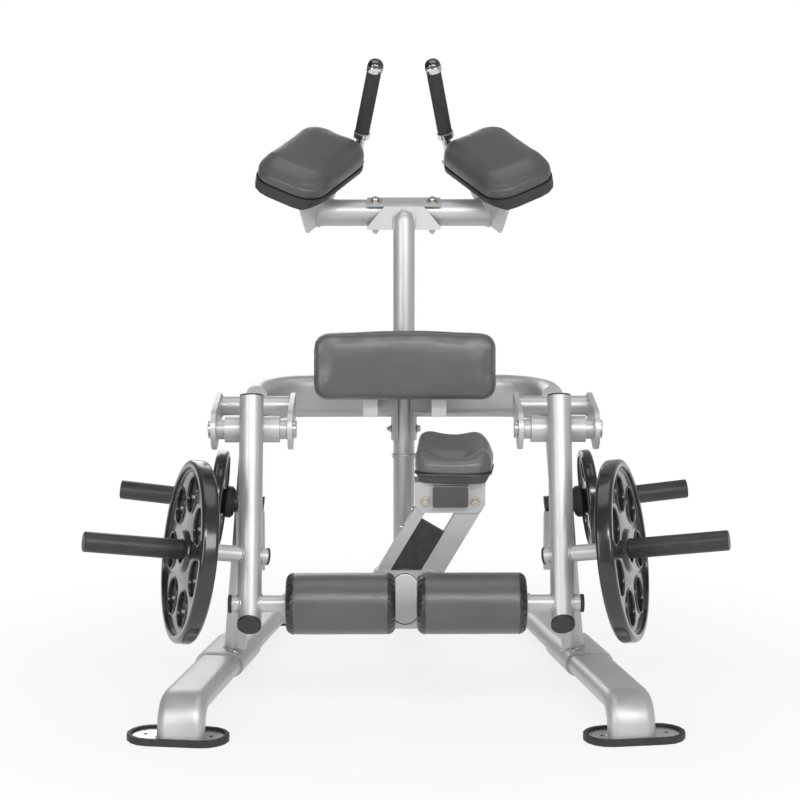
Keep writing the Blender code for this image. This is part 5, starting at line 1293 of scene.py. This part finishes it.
def weld_side(side_name, side, fixed):
    """The beads of the storage peg, the saddle, the foot plate and the elbow bracket."""
    seat, direction = store_axis(side)
    up = (mirrored(UPRIGHT_TOP, side) - seat).normalized()
    for facing in (1.0, -1.0):
        line = cope(seat, direction * facing, STORE_RADIUS, seat, up, UPRIGHT_RADIUS)
        weld(fixed, line, 0.0024)
    ring = circle(seat - up * 0.25, up, UPRIGHT_RADIUS + 0.0008, 40)
    weld(fixed, [landing(side_name + "_upright", spot, -up)[0] for spot in ring], 0.0034)
    base = Matrix.Translation(mirrored(FOOT_AT, side))
    base = base @ Matrix.Rotation(side * math.radians(FOOT_TURN_DEG), 4, "Z")
    foot = outline_points(0.1205, 0.0555, 0.0277, 10)
    weld(fixed, [base @ Vector((x, y, 0.0)) for x, y in foot], 0.0030)
    gusset = elbow_frame(side)
    inner = gusset @ Vector((-side * 0.053, 0.0, 0.0))
    facing = gusset.to_3x3() @ Vector((side, 0.0, 0.0))
    ring = []
    for spot in circle((0.0, BAR_Y, BAR_Z), (1, 0, 0), BAR_RADIUS):
        ring.append(spot + Vector(((inner - spot).dot(facing) / facing.x, 0.0, 0.0)))
    weld(fixed, ring, 0.0036)


def make_welds():
    """Weld beads round the tubes, one piece for each body."""
    fixed = bmesh.new()
    for side_name, side in SIDES:
        weld_arm(side_name, side, fixed)
        weld_side(side_name, side, fixed)
    weld(fixed, circle((0.0, POST_Y, POST_JOINT_Z - 0.0010), (0, 0, 1), 0.0312), 0.0026)
    foot_z = 1.2290
    arch = [(-POST_RADIUS, foot_z)] + arc((0.0, 1.2495), POST_RADIUS, 180.0, 0.0, 24)
    arch.append((POST_RADIUS, foot_z))
    weld(fixed, [Vector((x, POST_Y, z)) for x, z in arch], 0.0026, closed=False)
    place("frame_welds", fixed, WELD, "frame", 70.0)


make_caps()
make_flat_caps()
make_screws()
make_welds()


# Floor, light and camera

WHITE = (1.0, 1.0, 1.0)


def make_floor():
    """A pale floor that keeps the object's shadow and runs out into the white background."""
    bm = bmesh.new()
    bmesh.ops.create_circle(bm, cap_ends=True, segments=96, radius=9.0)
    bmesh.ops.translate(bm, vec=(0.0, 0.0, -0.0005), verts=bm.verts)
    mesh = mesh_of("floor", bm)
    n = Nodes("pale_floor")
    n.set(Base_Color=(0.86, 0.86, 0.86), Roughness=0.75, Specular_IOR_Level=0.2)
    glow = n.add("ShaderNodeEmission", {"Color": WHITE, "Strength": 1.0})
    distance = n.add("ShaderNodeVectorMath", {0: n.point}, operation="LENGTH")
    fade = n.add("ShaderNodeMapRange", {
        "Value": distance.outputs["Value"], "From Min": 0.7, "From Max": 1.7, "To Min": 0.80,
        "To Max": 1.0}, interpolation_type="SMOOTHSTEP")
    path = n.add("ShaderNodeLightPath").outputs
    seen = n.add("ShaderNodeMath", {0: path["Is Camera Ray"], 1: path["Is Glossy Ray"]},
                 operation="MAXIMUM")
    amount = n.add("ShaderNodeMath", {0: fade.outputs["Result"], 1: seen.outputs[0]},
                   operation="MULTIPLY")
    mix = n.add("ShaderNodeMixShader", {0: amount.outputs[0], 1: n.shader.outputs[0],
                                        2: glow.outputs[0]})
    n.feed(n.tree.nodes["Material Output"].inputs["Surface"], mix.outputs[0])
    mesh.materials.append(n.material)
    added("floor", mesh)


def make_world():
    """White where the camera sees it; its light is weaker overhead and at the sides."""
    world = bpy.data.worlds.new("studio")
    bpy.context.scene.world = world
    world.use_nodes = True
    n = Tree(world.node_tree)
    point = n.add("ShaderNodeTexCoord").outputs["Generated"]
    split = n.add("ShaderNodeSeparateXYZ", {0: point}).outputs
    across = n.add("ShaderNodeMapRange", {"From Min": -1.0, "Value": split["X"]})
    sides = n.ramp(across.outputs[0], (0.05, (0.28, 0.28, 0.29)), (0.375, WHITE))
    above = n.ramp(split["Z"], (0.25, WHITE), (0.85, (0.64, 0.64, 0.65)))
    back = n.tree.nodes["Background"]
    n.feed(back.inputs["Strength"], 0.54)
    n.feed(back.inputs["Color"], n.mix(1.0, sides, above, "MULTIPLY"))
    white = n.add("ShaderNodeBackground", {"Color": WHITE, "Strength": 1.0})
    seen = n.add("ShaderNodeLightPath").outputs["Is Camera Ray"]
    mix = n.add("ShaderNodeMixShader", {0: seen, 1: back.outputs[0], 2: white.outputs[0]})
    n.feed(n.tree.nodes["World Output"].inputs["Surface"], mix.outputs[0])


def area_light(name, spot, target, size, power):
    data = bpy.data.lights.new(name, "AREA")
    data.shape = "RECTANGLE"
    data.size, data.size_y = size
    data.energy = power
    light = added(name, data)
    light.location = spot
    heading = Vector(target) - Vector(spot)
    light.rotation_euler = heading.to_track_quat("-Z", "Y").to_euler()


def make_lights():
    area_light("key", (2.1, -4.3, 2.35), (0.0, 0.0, 0.8), (1.9, 1.5), 56.0)
    area_light("fill", (-2.8, -3.4, 1.7), (0.0, 0.0, 0.7), (1.2, 2.2), 48.0)
    area_light("high_front", (0.0, -4.0, 2.9), (0.0, -0.4, 0.5), (2.4, 0.5), 62.0)
    area_light("top", (0.0, -0.4, 3.9), (0.0, 0.0, 0.6), (2.6, 2.0), 22.0)
    area_light("rear", (-1.0, 3.4, 2.2), (0.0, 0.0, 0.8), (2.2, 2.0), 30.0)


def make_camera():
    data = bpy.data.cameras.new("camera")
    data.sensor_width = 36.0
    data.lens = 83.15
    camera = added("camera", data)
    turn = (Matrix.Rotation(math.radians(-0.551), 4, "Z")
            @ Matrix.Rotation(math.radians(82.498), 4, "X"))
    camera.matrix_world = Matrix.Translation((-0.058, -4.909, 1.418)) @ turn
    bpy.context.scene.camera = camera


make_floor()
make_world()
make_lights()
make_camera()
bpy.context.scene.view_settings.view_transform = "Standard"
